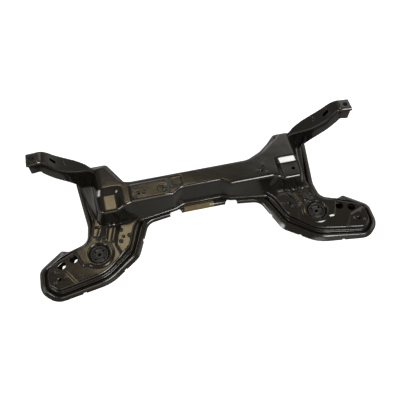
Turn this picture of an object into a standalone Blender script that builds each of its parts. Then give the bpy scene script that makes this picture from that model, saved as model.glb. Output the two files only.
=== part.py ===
# Front axle beam of a small car, welded up from pressed steel sheet.
#
# A tray-shaped lower pressing carries a hat-shaped upper pressing. Its two shoulders lead
# into horns that bolt to the body, and two arm plates reach forward as lobes for the
# suspension arms. Nothing on it moves.
#
# Metres, +Z up. X runs across the car, the lobes point along -Y, and the beam rests on
# the lower pressing's flat bottom at Z = 0. X = 0 is the middle of the beam.

import math

import bpy
import bmesh
from mathutils import Matrix, Vector
from mathutils.geometry import delaunay_2d_cdt

# Sheet and clearances
SHEET = 0.0025
CLEAR = 0.0003
SEAM_GAP = 0.0006
ARC_TURN = math.radians(25)

# Heights of the finished surfaces above the ground
TRIM_HEIGHT = 0.012
FLANGE_TOP = 0.022
ARM_TOP = 0.036
BEAM_TOP = 0.098
HORN_TOP = 0.231
HORN_DEPTH = 0.038

# Lower pressing: rounded rim, flat flange and pan
RIM_ROLL = 0.004
FLANGE_FLAT = 0.016
PAN_WALL_RUN = 0.006
SCALLOP_RADIUS = 0.0185
SCALLOP_X = 0.084
SCALLOP_Y = -0.0245
NOTCH_WIDTH = 0.009
NOTCH_DEPTH = 0.004
DRAIN_RADIUS = 0.007

# Outlines are corners (x, y, fillet radius) on the +X side, front middle to rear middle.
TRIM_COMMON = [
    (0.060, -0.0185, 0.100),
    (0.170, -0.0335, 0.032),
    (0.212, -0.1330, 0.045),
    (0.298, -0.1945, 0.110),
    (0.448, -0.2205, 0.048),
    (0.490, -0.1810, 0.050),
    (0.490, -0.1140, 0.030),
    (0.426, -0.0660, 0.004),
    (0.4045, -0.0725, 0.010),
    (0.3515, -0.0555, 0.030),
    (0.345, -0.0050, 0.060),
]
TRIM_REAR = {
    1: [
        (0.379, 0.1580, 0.040),
        (0.338, 0.2045, 0.030),
        (0.286, 0.2045, 0.018),
        (0.236, 0.1540, 0.050),
        (0.168, 0.1220, 0.050),
        (0.140, 0.1100, 0.040),
    ],
    -1: [
        (0.366, 0.1580, 0.040),
        (0.330, 0.2045, 0.030),
        (0.2695, 0.2045, 0.014),
        (0.220, 0.1200, 0.040),
        (0.185, 0.1095, 0.040),
    ],
}
RIDGE_COMMON = [
    (0.060, -0.0060, 0.100),
    (0.1805, -0.0165, 0.047),
    (0.2245, -0.1245, 0.030),
    (0.3025, -0.1845, 0.095),
    (0.4430, -0.2095, 0.038),
    (0.4770, -0.1770, 0.038),
    (0.4770, -0.1215, 0.028),
    (0.4280, -0.0870, 0.050),
    (0.4050, -0.0790, 0.050),
    (0.3465, -0.0625, 0.034),
    (0.3370, -0.0050, 0.060),
]
RIDGE_REAR = {
    1: [
        (0.3645, 0.1530, 0.030),
        (0.331, 0.1890, 0.022),
        (0.283, 0.1890, 0.012),
        (0.2385, 0.1430, 0.050),
        (0.175, 0.1090, 0.060),
        (0.143, 0.0970, 0.050),
    ],
    -1: [
        (0.3545, 0.1530, 0.030),
        (0.324, 0.1890, 0.022),
        (0.272, 0.1890, 0.012),
        (0.224, 0.1065, 0.045),
        (0.188, 0.0970, 0.050),
    ],
}

# Upper pressing: the wall's foot, and the edge of its top face
WALL_FLANGE = 0.008
WALL_FOOT_ROLL = 0.003
TOP_EDGE_RADIUS = 0.006
FOOT_COMMON = [
    (0.058, 0.0050, 0.020),
    (0.084, -0.0060, 0.030),
    (0.190, -0.0215, 0.050),
    (0.240, -0.0235, 0.050),
    (0.314, -0.0235, 0.018),
    (0.328, 0.0400, 0.020),
    (0.332, 0.0590, 0.020),
    (0.348, 0.1280, 0.025),
]
FOOT_REAR = {
    1: [(0.333, 0.172, 0.025), (0.274, 0.172, 0.025), (0.181, 0.099, 0.060), (0.147, 0.084, 0.050)],
    -1: [(0.331, 0.170, 0.025), (0.262, 0.169, 0.025), (0.223, 0.091, 0.040), (0.195, 0.084, 0.050)],
}
TOP_EDGE = {
    1: [
        (0.058, 0.0170, 0.010),
        (0.082, 0.0010, 0.012),
        (0.212, -0.0010, 0.015),
        (0.238, -0.0130, 0.015),
        (0.301, -0.0130, 0.012),
        (0.3055, 0.0400, 0.020),
        (0.3070, 0.0590, 0.020),
        (0.3125, 0.1250, 0.018),
        (0.304, 0.1460, 0.016),
        (0.274, 0.1440, 0.014),
        (0.205, 0.0910, 0.070),
        (0.150, 0.0720, 0.040),
    ],
    -1: [
        (0.058, 0.0170, 0.010),
        (0.088, 0.0020, 0.012),
        (0.205, 0.0020, 0.015),
        (0.238, -0.0090, 0.015),
        (0.300, -0.0110, 0.012),
        (0.3055, 0.0400, 0.020),
        (0.3070, 0.0590, 0.020),
        (0.3125, 0.1250, 0.018),
        (0.300, 0.1420, 0.016),
        (0.265, 0.1400, 0.020),
        (0.229, 0.0775, 0.030),
        (0.200, 0.0710, 0.040),
    ],
}

# Each shoulder's front corner is pressed down to a lower shelf. Its slope starts at the
# crease lines, and the shelf is the part past both slopes. +X side.
SHELF_DROP = 0.010
SHELF_CREASE_X = 0.217
SHELF_CREASE_Y = 0.059
SHELF_SIDE_RUN = 0.022
SHELF_REAR_RUN = 0.019
PAD = [(-0.208, 0.010), (-0.094, 0.012), (-0.094, 0.058), (-0.208, 0.056)]
PAD_RISE = 0.002
PAD_RUN = 0.004

# Tapped holes: place, and which sheet they are in
NUT_HOLE_RADIUS = 0.006
BEAM_NUTS = {
    "left_outer_beam_nut": (-0.184, 0.024),
    "left_inner_beam_nut": (-0.113, 0.027),
    "right_beam_nut": (0.183, 0.023),
}
SMALL_HOLE = (0.278, 0.013)
SMALL_HOLE_RADIUS = 0.005
NUT_RADIUS = 0.0100
NUT_THICK = 0.010
NUT_COLLAR = 0.0015
NUT_COLLAR_WALL = 0.0010
TURN_SIDES = 24

# Arm plates, on the +X side: rim outline, holes and stampings
ARM_RIM_FLANGE = 0.0065
ARM_EDGE_RADIUS = 0.005
ARM_WALL_RUN = 0.002
ARM_RIM = [
    (0.160, 0.0100, 0.004),
    (0.206, -0.0440, 0.060),
    (0.228, -0.1080, 0.040),
    (0.304, -0.1730, 0.100),
    (0.440, -0.1985, 0.030),
    (0.467, -0.1740, 0.030),
    (0.468, -0.1170, 0.036),
    (0.400, -0.0865, 0.060),
    (0.345, -0.0670, 0.040),
    (0.3255, 0.0120, 0.004),
]
BUSH_CENTRE = (0.3205, -0.1090)
BUSH_PAD_RADIUS = 0.0378
BUSH_PAD_RISE = 0.003
BUSH_RING_RADIUS = 0.0310
CUP_RADIUS = 0.0245
CUP_DEPTH = 0.009
ACCESS_HOLES = [(0.391, -0.110), (0.4245, -0.122)]
ACCESS_RADIUS = 0.0115
# The openings below the left arm's access holes sit further inboard and to the rear,
# across the foot of the pan wall
LOWER_ACCESS_SHIFT = (-0.0055, 0.0100)
LOWER_ACCESS_RADIUS = 0.0135
ARM_BOLT = (0.434, -0.160)
ARM_BOLT_RADIUS = 0.0068
ARM_PILOT = (0.2470, -0.0715)
ARM_PILOT_RADIUS = 0.0055
BEAD_START = (0.283, -0.038)
BEAD_END = (0.3005, -0.066)
BEAD_WIDTH = 0.012
BEAD_RISE = 0.003
SIDE_PAD = [
    (0.228, -0.048),
    (0.238, -0.080),
    (0.256, -0.103),
    (0.268, -0.112),
    (0.268, -0.088),
    (0.250, -0.048),
]
SIDE_PAD_RISE = 0.003
SIDE_PAD_RUN = 0.003
BUSH_PAD_RUN = 0.005

# Bush in each arm plate's cup
BUSH_WALL = 0.002
BUSH_TOP_DROP = 0.0015
BUSH_FOOT_GAP = 0.0040
BUSH_SLEEVE_RADIUS = 0.0095
BUSH_BORE_RADIUS = 0.0062
BUSH_VOID_RADIUS = 0.0030
BUSH_VOIDS = 4
BUSH_SLEEVE_PROUD = 0.002

# Horns, on the +X side. Each station from the shoulder to the bend has the share of the
# climb and the height of its crest, the same of its belly, the middle's y and the width.
HORN_STATIONS = [
    ((0.000, 0.084), (0.224, 0.016), 0.1340, 0.018),
    ((0.097, 0.101), (0.410, 0.026), 0.1335, 0.019),
    ((0.194, 0.115), (0.433, 0.046), 0.1310, 0.026),
    ((0.373, 0.136), (0.480, 0.079), 0.1260, 0.040),
    ((0.545, 0.159), (0.597, 0.112), 0.1195, 0.046),
    ((0.724, 0.188), (0.776, 0.145), 0.1140, 0.048),
    ((0.821, 0.211), (0.896, 0.166), 0.1115, 0.045),
    ((0.910, 0.2265), (0.970, 0.181), 0.1095, 0.042),
]
HORN_ROOT_X = 0.292
HORN_BOLT_X = 0.440
HORN_BOLT_Y = 0.1060
HORN_BOLT_RADIUS = 0.0070
HORN_LEVEL_RUN = 0.0140
HORN_LEVEL_Y = 0.1075
HORN_TIP_REACH = 0.0145
HORN_TIP_Y = 0.1055
HORN_WALL_REACH = 0.0100
HORN_NEST = 0.0010
HORN_WIDTH = 0.041
HORN_EDGE_RADIUS = 0.006
HORN_TIP_LIP = 0.007
HORN_LAP = 0.012
HORN_SLEEVE_WALL = 0.0025
HORN_SLOT_STATION = 5
HORN_SLOT_LENGTH = 0.024
HORN_SLOT_WIDTH = 0.010

# Plates inside the hat, across the beam
BULKHEAD_X = 0.160
BULKHEAD_THICK = 0.002
BULKHEAD_GAP = 0.0025

PAINT = (0.030, 0.027, 0.024)
ZINC = (0.30, 0.29, 0.27)
RUBBER = (0.012, 0.012, 0.012)

SIDES = {"left": -1, "right": 1}


# Scene and materials

def clear_scene():
    for obj in list(bpy.data.objects):
        bpy.data.objects.remove(obj, do_unlink=True)


def new_collection(name):
    collection = bpy.data.collections.new(name)
    bpy.context.scene.collection.children.link(collection)
    return collection


def paint(obj, colour, roughness, metallic):
    material = bpy.data.materials.new(obj.name + "_finish")
    material.use_nodes = True
    shader = material.node_tree.nodes["Principled BSDF"]
    shader.inputs["Base Color"].default_value = (*colour, 1.0)
    shader.inputs["Roughness"].default_value = roughness
    shader.inputs["Metallic"].default_value = metallic
    obj.data.materials.clear()
    obj.data.materials.append(material)


def add_object(name, mesh, collection):
    obj = bpy.data.objects.new(name, mesh)
    collection.objects.link(obj)
    return obj


def as_cutter(obj):
    obj.hide_render = True
    obj.display_type = "WIRE"
    return obj


def cut(obj, cutter, operation="DIFFERENCE"):
    modifier = obj.modifiers.new("cut_" + cutter.name, "BOOLEAN")
    modifier.operation = operation
    modifier.object = cutter
    modifier.solver = "EXACT"


# Outlines

def edge_normal(start, end):
    """Unit normal to the left of the way from start to end, which is inwards."""
    along = (end - start).normalized()
    return Vector((-along.y, along.x))


def inset(corners, distance):
    """Move every edge of a counter-clockwise outline inwards and fit the fillets."""
    moved = []
    count = len(corners)
    for i, (x, y, radius) in enumerate(corners):
        here = Vector((x, y))
        before = Vector(corners[i - 1][:2])
        after = Vector(corners[(i + 1) % count][:2])
        first = edge_normal(before, here)
        second = edge_normal(here, after)
        shift = (first + second) * (distance / (1.0 + first.dot(second)))
        turn = (here - before).cross(after - here)
        grown = radius - distance if turn > 0.0 else radius + distance
        moved.append((x + shift.x, y + shift.y, max(grown, 0.001)))
    return moved


def arc_counts(outlines):
    """How many pieces each corner's fillet gets, so that outlines of one sheet match."""
    counts = []
    for i in range(len(outlines[0])):
        turns = []
        for corners in outlines:
            here = Vector(corners[i][:2])
            back = here - Vector(corners[i - 1][:2])
            on = Vector(corners[(i + 1) % len(corners)][:2]) - here
            turns.append(back.angle(on))
        counts.append(max(1, round(max(turns) / ARC_TURN)))
    return counts


def rounded(corners, counts=None):
    """Points along an outline whose corners carry fillets, limited by their edges."""
    counts = counts or arc_counts([corners])
    points = []
    for i, (x, y, radius) in enumerate(corners):
        here = Vector((x, y))
        back = Vector(corners[i - 1][:2]) - here
        on = Vector(corners[(i + 1) % len(corners)][:2]) - here
        half = back.angle(on) / 2.0
        reach = min(radius / math.tan(half), 0.48 * back.length, 0.48 * on.length)
        radius = reach * math.tan(half)
        start = here + back.normalized() * reach
        end = here + on.normalized() * reach
        middle = here + (back.normalized() + on.normalized()).normalized() * (radius / math.sin(half))
        sweep = (start - middle).angle_signed(end - middle, 0.0)
        for step in range(counts[i] + 1):
            arm = (start - middle).copy()
            arm.rotate(Matrix.Rotation(-sweep * step / counts[i], 2))
            points.append(middle + arm)
    return points


def both_sides(common, rear):
    """A whole outline, counter-clockwise, from its two halves."""
    right = list(common[1]) + list(rear[1])
    left = [(-x, y, radius) for x, y, radius in reversed(list(common[-1]) + list(rear[-1]))]
    return right + left


def circle(x, y, radius, count):
    return [
        Vector((x + radius * math.cos(math.tau * i / count), y + radius * math.sin(math.tau * i / count)))
        for i in range(count)
    ]


def inside(point, polygon):
    crossings = False
    for i, here in enumerate(polygon):
        there = polygon[i - 1]
        if (here.y > point.y) != (there.y > point.y):
            if point.x < (there.x - here.x) * (point.y - here.y) / (there.y - here.y) + here.x:
                crossings = not crossings
    return crossings


# Sheets and solids

def ring_walls(shape, rings):
    """Quads through outlines of equally many corners, outermost first; gives the last ring."""
    counts = arc_counts([corners for corners, _ in rings])
    made = []
    for corners, height in rings:
        ring = []
        for p in rounded(corners, counts):
            ring.append(shape.verts.new((p.x, p.y, height(p.x, p.y) if callable(height) else height)))
        made.append(ring)
    for low, high in zip(made, made[1:]):
        for i in range(len(low)):
            j = (i + 1) % len(low)
            shape.faces.new((low[i], low[j], high[j], high[i]))
    return made


def pressed_sheet(name, rings, loops, lines, holes, collection, thickness=SHEET):
    """A pressing as one open surface with thickness below it.

    The rings are corner lists that make its walls. The loops are stampings inside the last
    ring, the lines are creases there, and every one comes with its height.
    """
    shape = bmesh.new()
    made = ring_walls(shape, rings)
    last = made[-1]
    bound = [Vector(vert.co[:2]) for vert in last]
    flat = list(bound)
    heights = [vert.co.z for vert in last]
    edges = [(i, (i + 1) % len(last)) for i in range(len(last))]
    for points, height in loops + lines + holes:
        start = len(flat)
        flat += points
        heights += [height] * len(points)
        edges += [(start + i, start + i + 1) for i in range(len(points) - 1)]
        if (points, height) not in lines:
            edges.append((start + len(points) - 1, start))
    verts, _, faces, origins, _, _ = delaunay_2d_cdt(flat, edges, [], 0, 1e-7)
    inner = []
    for vert, origin in zip(verts, origins):
        if origin and origin[0] < len(last):
            inner.append(last[origin[0]])
            continue
        nearest = origin[0] if origin else min(range(len(flat)), key=lambda k: (flat[k] - vert).length)
        inner.append(shape.verts.new((vert.x, vert.y, heights[nearest])))
    for face in faces:
        middle = sum((verts[i] for i in face), Vector((0.0, 0.0))) / len(face)
        if inside(middle, bound) and not any(inside(middle, hole) for hole, _ in holes):
            shape.faces.new([inner[i] for i in face])
    loose = [vert for vert in shape.verts if not vert.link_faces]
    bmesh.ops.delete(shape, geom=loose, context="VERTS")
    for face in shape.faces:
        face.normal_update()
        if face.normal.z < 0.0:
            face.normal_flip()
    mesh = bpy.data.meshes.new(name)
    shape.to_mesh(mesh)
    shape.free()
    obj = add_object(name, mesh, collection)
    solidify = obj.modifiers.new("sheet", "SOLIDIFY")
    solidify.thickness = thickness
    solidify.offset = -1.0
    solidify.use_even_offset = True
    mesh.shade_smooth()
    mesh.set_sharp_from_angle(angle=math.radians(35))
    return obj


def lofted_solid(name, rings, collection):
    """A closed solid through rings of equally many points, with flat ends."""
    mesh = bpy.data.meshes.new(name)
    shape = bmesh.new()
    made = [[shape.verts.new(point) for point in ring] for ring in rings]
    count = len(rings[0])
    for low, high in zip(made, made[1:]):
        for i in range(count):
            j = (i + 1) % count
            shape.faces.new((low[i], low[j], high[j], high[i]))
    shape.faces.new(list(reversed(made[0])))
    shape.faces.new(made[-1])
    bmesh.ops.triangulate(shape, faces=shape.faces[:])
    bmesh.ops.recalc_face_normals(shape, faces=shape.faces[:])
    shape.to_mesh(mesh)
    shape.free()
    return add_object(name, mesh, collection)


def lofted_sheet(name, sections, collection, offset):
    """An open strip through equal sections, given thickness to one side."""
    mesh = bpy.data.meshes.new(name)
    shape = bmesh.new()
    made = [[shape.verts.new(point) for point in section] for section in sections]
    for low, high in zip(made, made[1:]):
        for i in range(len(low) - 1):
            shape.faces.new((low[i], low[i + 1], high[i + 1], high[i]))
    bmesh.ops.triangulate(shape, faces=shape.faces[:])
    shape.to_mesh(mesh)
    shape.free()
    obj = add_object(name, mesh, collection)
    solidify = obj.modifiers.new("sheet", "SOLIDIFY")
    solidify.thickness = SHEET
    solidify.offset = offset
    solidify.use_even_offset = True
    mesh.shade_smooth()
    mesh.set_sharp_from_angle(angle=math.radians(35))
    return obj


def turned(name, profile, centre, collection, sides=TURN_SIDES):
    """A turned ring from (radius, height) points, outer side down and inner side up."""
    mesh = bpy.data.meshes.new(name)
    shape = bmesh.new()
    made = [shape.verts.new((radius, 0.0, height)) for radius, height in profile]
    for i, vert in enumerate(made):
        shape.edges.new((vert, made[(i + 1) % len(made)]))
    shape.to_mesh(mesh)
    shape.free()
    obj = add_object(name, mesh, collection)
    obj.location = centre
    screw = obj.modifiers.new("turn", "SCREW")
    screw.steps = sides
    screw.render_steps = sides
    screw.use_merge_vertices = True
    screw.merge_threshold = 0.00001
    screw.use_smooth_shade = True
    return obj


def cylinder_cutter(name, x, y, radius, low, high, collection, sides=16):
    mesh = bpy.data.meshes.new(name)
    shape = bmesh.new()
    bmesh.ops.create_cone(shape, cap_ends=True, segments=sides, radius1=radius, radius2=radius, depth=high - low)
    shape.to_mesh(mesh)
    shape.free()
    obj = add_object(name, mesh, collection)
    obj.location = (x, y, (low + high) / 2.0)
    return as_cutter(obj)


def box_cutter(name, size, centre, collection, turn=0.0):
    mesh = bpy.data.meshes.new(name)
    shape = bmesh.new()
    bmesh.ops.create_cube(shape, size=1.0)
    bmesh.ops.scale(shape, verts=shape.verts, vec=size)
    shape.to_mesh(mesh)
    shape.free()
    obj = add_object(name, mesh, collection)
    obj.location = centre
    obj.rotation_euler = (0.0, 0.0, turn)
    return as_cutter(obj)


# Lower pressing

def lower_trim():
    return both_sides({1: TRIM_COMMON, -1: TRIM_COMMON}, TRIM_REAR)


def lower_ridge():
    return both_sides({1: RIDGE_COMMON, -1: RIDGE_COMMON}, RIDGE_REAR)


def build_lower_pressing(collection, cutters):
    ridge = lower_ridge()
    flat_end = inset(ridge, RIM_ROLL / 2 + FLANGE_FLAT)
    wall_foot = inset(ridge, RIM_ROLL / 2 + FLANGE_FLAT + PAN_WALL_RUN)
    pan = inset(ridge, RIM_ROLL + FLANGE_FLAT + PAN_WALL_RUN)
    rings = [
        (lower_trim(), TRIM_HEIGHT),
        (ridge, FLANGE_TOP - RIM_ROLL / 3),
        (inset(ridge, RIM_ROLL), FLANGE_TOP),
        (flat_end, FLANGE_TOP),
        (inset(flat_end, RIM_ROLL / 2), FLANGE_TOP - RIM_ROLL / 2),
        (wall_foot, SHEET + RIM_ROLL / 3),
        (pan, SHEET),
    ]
    holes = []
    for side in SIDES.values():
        if side == SIDES["right"]:
            for x, y in ACCESS_HOLES:
                holes.append((circle(side * x, y, ACCESS_RADIUS, 16), SHEET))
        holes.append((circle(side * BUSH_CENTRE[0], BUSH_CENTRE[1], BUSH_SLEEVE_RADIUS, 16), SHEET))
        holes.append((circle(side * ARM_BOLT[0], ARM_BOLT[1], ARM_BOLT_RADIUS, 12), SHEET))
        holes.append((circle(side * SCALLOP_X, (FOOT_COMMON[0][1] + FOOT_REAR[1][-1][1]) / 2, DRAIN_RADIUS, 12), SHEET))
    obj = pressed_sheet("lower_pressing", rings, [], [], holes, collection)
    for name, side in SIDES.items():
        scallop = cylinder_cutter(
            name + "_scallop_cutter", side * SCALLOP_X, SCALLOP_Y, SCALLOP_RADIUS, -0.01, 0.05, cutters, 24)
        cut(obj, scallop)
        if side == SIDES["left"]:
            for i, (x, y) in enumerate(ACCESS_HOLES):
                opening = cylinder_cutter(
                    "%s_access_cutter_%d" % (name, i + 1), side * (x + LOWER_ACCESS_SHIFT[0]),
                    y + LOWER_ACCESS_SHIFT[1], LOWER_ACCESS_RADIUS, -0.01, 0.03, cutters, 24)
                cut(obj, opening)
        for i, (start, end) in enumerate(zip(TRIM_COMMON[1:4], TRIM_COMMON[2:5])):
            here = Vector(start[:2]).lerp(Vector(end[:2]), 0.5)
            along = Vector(end[:2]) - Vector(start[:2])
            notch = box_cutter(
                "%s_notch_cutter_%d" % (name, i + 1), (NOTCH_WIDTH, 2 * NOTCH_DEPTH, 0.06),
                (side * here.x, here.y, 0.02), cutters, side * math.atan2(along.y, along.x))
            cut(obj, notch)
    paint(obj, PAINT, 0.32, 0.0)
    return obj


# Upper pressing

def wall_foot():
    return both_sides({1: FOOT_COMMON, -1: FOOT_COMMON}, FOOT_REAR)


def top_edge():
    return both_sides({1: [], -1: []}, TOP_EDGE)


def ramp(value):
    return min(max(value, 0.0), 1.0)


def shelf(x, y):
    """How far the top lies under the beam's top at a point."""
    across = ramp((abs(x) - SHELF_CREASE_X) / SHELF_SIDE_RUN)
    along = ramp((SHELF_CREASE_Y - y) / SHELF_REAR_RUN)
    return -SHELF_DROP * across * along


def top_at(below):
    return lambda x, y: BEAM_TOP + shelf(x, y) - below


def wall_rings(grow):
    """The upper pressing's outer surface as (outline, height), grown outwards by a clearance."""
    foot = wall_foot()
    edge = top_edge()
    flange_height = FLANGE_TOP + CLEAR + SHEET
    arc = TOP_EDGE_RADIUS
    return [
        (inset(foot, -WALL_FLANGE - grow), flange_height + grow),
        (inset(foot, -WALL_FOOT_ROLL - grow), flange_height + grow),
        (inset(foot, WALL_FOOT_ROLL * 0.1 - grow), flange_height + WALL_FOOT_ROLL + grow),
        (inset(edge, -grow), top_at(arc - grow)),
        (inset(edge, arc * 0.3 - grow), top_at(arc * 0.3 - grow)),
        (inset(edge, arc - grow), top_at(-grow)),
    ]


def shrink_polygon(points, distance):
    corners = inset([(x, y, 0.001) for x, y in points], distance)
    return [(x, y) for x, y, _ in corners]


def build_upper_pressing(collection):
    loops = [
        ([Vector(point) for point in PAD], BEAM_TOP),
        ([Vector(point) for point in shrink_polygon(PAD, PAD_RUN)], BEAM_TOP + PAD_RISE),
    ]
    lines = []
    inner = TOP_EDGE_RADIUS + CLEAR
    for side in (-1, 1):
        edge = {1: TOP_EDGE[1], -1: TOP_EDGE[-1]}[side]
        front = edge[2][1] + inner
        outer = edge[5][0] - inner - CLEAR
        crease = [(SHELF_CREASE_X, front), (SHELF_CREASE_X, SHELF_CREASE_Y), (outer, SHELF_CREASE_Y)]
        lines.append(([Vector((side * x, y)) for x, y in crease], BEAM_TOP))
        near = edge[3][1] + inner
        far = SHELF_CREASE_Y - SHELF_REAR_RUN
        low_x = SHELF_CREASE_X + SHELF_SIDE_RUN
        foot = [(edge[4][0] - inner - CLEAR, far), (low_x, far), (low_x, near)]
        lines.append(([Vector((side * x, y)) for x, y in foot], BEAM_TOP - SHELF_DROP))
    holes = []
    for x, y in BEAM_NUTS.values():
        height = BEAM_TOP + (PAD_RISE if x < 0.0 else 0.0)
        holes.append((circle(x, y, NUT_HOLE_RADIUS, 12), height))
    holes.append((circle(SMALL_HOLE[0], SMALL_HOLE[1], SMALL_HOLE_RADIUS, 12), BEAM_TOP - SHELF_DROP))
    obj = pressed_sheet("upper_pressing", wall_rings(0.0), loops, lines, holes, collection)
    paint(obj, PAINT, 0.30, 0.0)
    return obj


def beam_envelope(name, grow, cutters):
    """The space that the upper pressing takes, with a clearance, down to the ground."""
    rings = wall_rings(grow)
    shape = bmesh.new()
    made = ring_walls(shape, [(rings[0][0], 0.0)] + rings)
    shape.faces.new(list(reversed(made[0])))
    shape.faces.new(made[-1])
    bmesh.ops.recalc_face_normals(shape, faces=shape.faces[:])
    mesh = bpy.data.meshes.new(name)
    shape.to_mesh(mesh)
    shape.free()
    return as_cutter(add_object(name, mesh, cutters))


# Arm plates

def mirrored(points, side):
    if side > 0:
        return points
    return [Vector((-point.x, point.y)) for point in reversed(points)]


def mirrored_corners(corners, side):
    if side > 0:
        return corners
    return [(-x, y, radius) for x, y, radius in reversed(corners)]


def slot_outline(start, end, width, steps=4):
    start = Vector(start)
    end = Vector(end)
    along = (end - start).normalized()
    across = Vector((-along.y, along.x))
    points = []
    for centre, first in ((end, -1.0), (start, 1.0)):
        for step in range(steps + 1):
            angle = math.pi * step / steps
            swing = across * first * math.cos(angle) + along * -first * math.sin(angle)
            points.append(centre + swing * (width / 2))
    return points


def build_arm_plate(name, side, collection, envelope):
    rim_height = FLANGE_TOP + CLEAR + SHEET
    wall = ARM_RIM_FLANGE + ARM_WALL_RUN
    arc = ARM_EDGE_RADIUS
    rings = []
    for distance, height in (
        (0.0, rim_height),
        (ARM_RIM_FLANGE, rim_height),
        (wall, rim_height + ARM_WALL_RUN),
        (wall + ARM_WALL_RUN, ARM_TOP - arc * 0.7),
        (wall + ARM_WALL_RUN + arc * 0.35, ARM_TOP - arc * 0.25),
        (wall + ARM_WALL_RUN + arc, ARM_TOP),
    ):
        rings.append((mirrored_corners(inset(ARM_RIM, distance), side), height))
    loops = []
    x, y = BUSH_CENTRE
    raised = ARM_TOP + BUSH_PAD_RISE
    for radius, height, count in (
        (BUSH_PAD_RADIUS, ARM_TOP, 24),
        (BUSH_PAD_RADIUS - BUSH_PAD_RUN, raised, 24),
        (BUSH_RING_RADIUS, raised, 24),
        (BUSH_RING_RADIUS - 0.003, raised - 0.0015, 24),
        (CUP_RADIUS + 0.002, raised - CUP_DEPTH * 0.6, 24),
    ):
        loops.append((circle(side * x, y, radius, count), height))
    bead = slot_outline(BEAD_START, BEAD_END, BEAD_WIDTH)
    crest = slot_outline(BEAD_START, BEAD_END, BEAD_WIDTH * 0.35)
    loops.append((mirrored(bead, side), ARM_TOP))
    loops.append((mirrored(crest, side), ARM_TOP + BEAD_RISE))
    outer = [Vector(point) for point in SIDE_PAD]
    inner = [Vector(point) for point in shrink_polygon(SIDE_PAD, SIDE_PAD_RUN)]
    loops.append((mirrored(outer, side), ARM_TOP))
    loops.append((mirrored(inner, side), ARM_TOP + SIDE_PAD_RISE))
    holes = [(circle(side * x, y, CUP_RADIUS, 24), raised - CUP_DEPTH)]
    for hole_x, hole_y in ACCESS_HOLES:
        holes.append((circle(side * hole_x, hole_y, ACCESS_RADIUS, 16), ARM_TOP))
    holes.append((circle(side * ARM_BOLT[0], ARM_BOLT[1], ARM_BOLT_RADIUS, 12), ARM_TOP))
    holes.append((circle(side * ARM_PILOT[0], ARM_PILOT[1], ARM_PILOT_RADIUS, 12), ARM_TOP + SIDE_PAD_RISE))
    obj = pressed_sheet(name + "_arm_plate", rings, loops, [], holes, collection)
    cut(obj, envelope)
    paint(obj, PAINT, 0.30, 0.0)
    return obj


def build_bush(name, side, collection):
    """Steel shell, rubber and inner sleeve, pressed into the cup from above."""
    centre = (side * BUSH_CENTRE[0], BUSH_CENTRE[1], 0.0)
    top = ARM_TOP + BUSH_PAD_RISE - CUP_DEPTH - BUSH_TOP_DROP
    foot = SHEET + BUSH_FOOT_GAP
    outer = CUP_RADIUS - CLEAR
    inner = outer - BUSH_WALL
    shell = turned(
        name + "_bush_shell",
        [(outer, top + CUP_DEPTH * 0.5), (outer, SHEET + CLEAR), (inner, SHEET + CLEAR), (inner, top + CUP_DEPTH * 0.5)],
        centre, collection)
    rubber_outer = inner - CLEAR
    rubber_inner = BUSH_SLEEVE_RADIUS + CLEAR
    rubber = turned(
        name + "_bush_rubber",
        [(rubber_outer, top - BUSH_WALL), (rubber_outer, foot), (rubber_inner, foot), (rubber_inner, top)],
        centre, collection)
    sleeve_top = top + BUSH_SLEEVE_PROUD
    sleeve = turned(
        name + "_bush_sleeve",
        [(BUSH_SLEEVE_RADIUS, sleeve_top), (BUSH_SLEEVE_RADIUS, SHEET + CLEAR),
         (BUSH_BORE_RADIUS, SHEET + CLEAR), (BUSH_BORE_RADIUS, sleeve_top)],
        centre, collection)
    paint(shell, ZINC, 0.45, 1.0)
    paint(rubber, RUBBER, 0.85, 0.0)
    paint(sleeve, ZINC, 0.40, 1.0)
    return rubber


def cut_bush_voids(name, side, rubber, cutters):
    middle = (CUP_RADIUS - BUSH_WALL + BUSH_SLEEVE_RADIUS) / 2
    for i in range(BUSH_VOIDS):
        angle = math.tau * (i + 0.5) / BUSH_VOIDS
        x = side * BUSH_CENTRE[0] + middle * math.cos(angle)
        y = BUSH_CENTRE[1] + middle * math.sin(angle)
        void = cylinder_cutter(
            "%s_bush_void_%d" % (name, i + 1), x, y, BUSH_VOID_RADIUS, 0.0, ARM_TOP + 0.02, cutters, 12)
        cut(rubber, void)


# Weld nuts

def build_nut(name, x, y, seat, bore, collection, rise=0.0):
    """Round weld nut under the sheet, whose collar reaches up into a stamping by its rise."""
    top = seat + rise - CLEAR
    low = top - NUT_COLLAR - rise
    foot = top - NUT_THICK - rise
    collar = bore + NUT_COLLAR_WALL
    nut = turned(
        name,
        [(collar, top), (collar, low), (NUT_RADIUS, low), (NUT_RADIUS, foot), (bore, foot), (bore, top)],
        (x, y, 0.0), collection, 12)
    paint(nut, ZINC, 0.5, 1.0)
    return nut


# Horns

def horn_rows():
    """Crest, belly, middle y and width at each station, shoulder to tip."""
    climb = HORN_BOLT_X - HORN_LEVEL_RUN - HORN_ROOT_X
    rows = []
    for crest, belly, y, width in HORN_STATIONS:
        high = Vector((HORN_ROOT_X + crest[0] * climb, crest[1]))
        low = Vector((HORN_ROOT_X + belly[0] * climb, belly[1]))
        rows.append((high, low, y, width))
    level = [
        (HORN_BOLT_X - HORN_LEVEL_RUN, HORN_LEVEL_Y),
        (HORN_BOLT_X, HORN_BOLT_Y),
        (HORN_BOLT_X + HORN_TIP_REACH, HORN_TIP_Y),
    ]
    for x, y in level:
        rows.append((Vector((x, HORN_TOP)), Vector((x + 0.001, HORN_TOP - HORN_DEPTH)), y, HORN_WIDTH))
    return rows


def horn_point(side, crest, belly, y, down, across):
    """A point of a section: down is a length from the crest towards the belly."""
    fall = (belly - crest).normalized() * down
    return Vector((side * (crest.x + fall.x), y + across, crest.y + fall.y))


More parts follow.
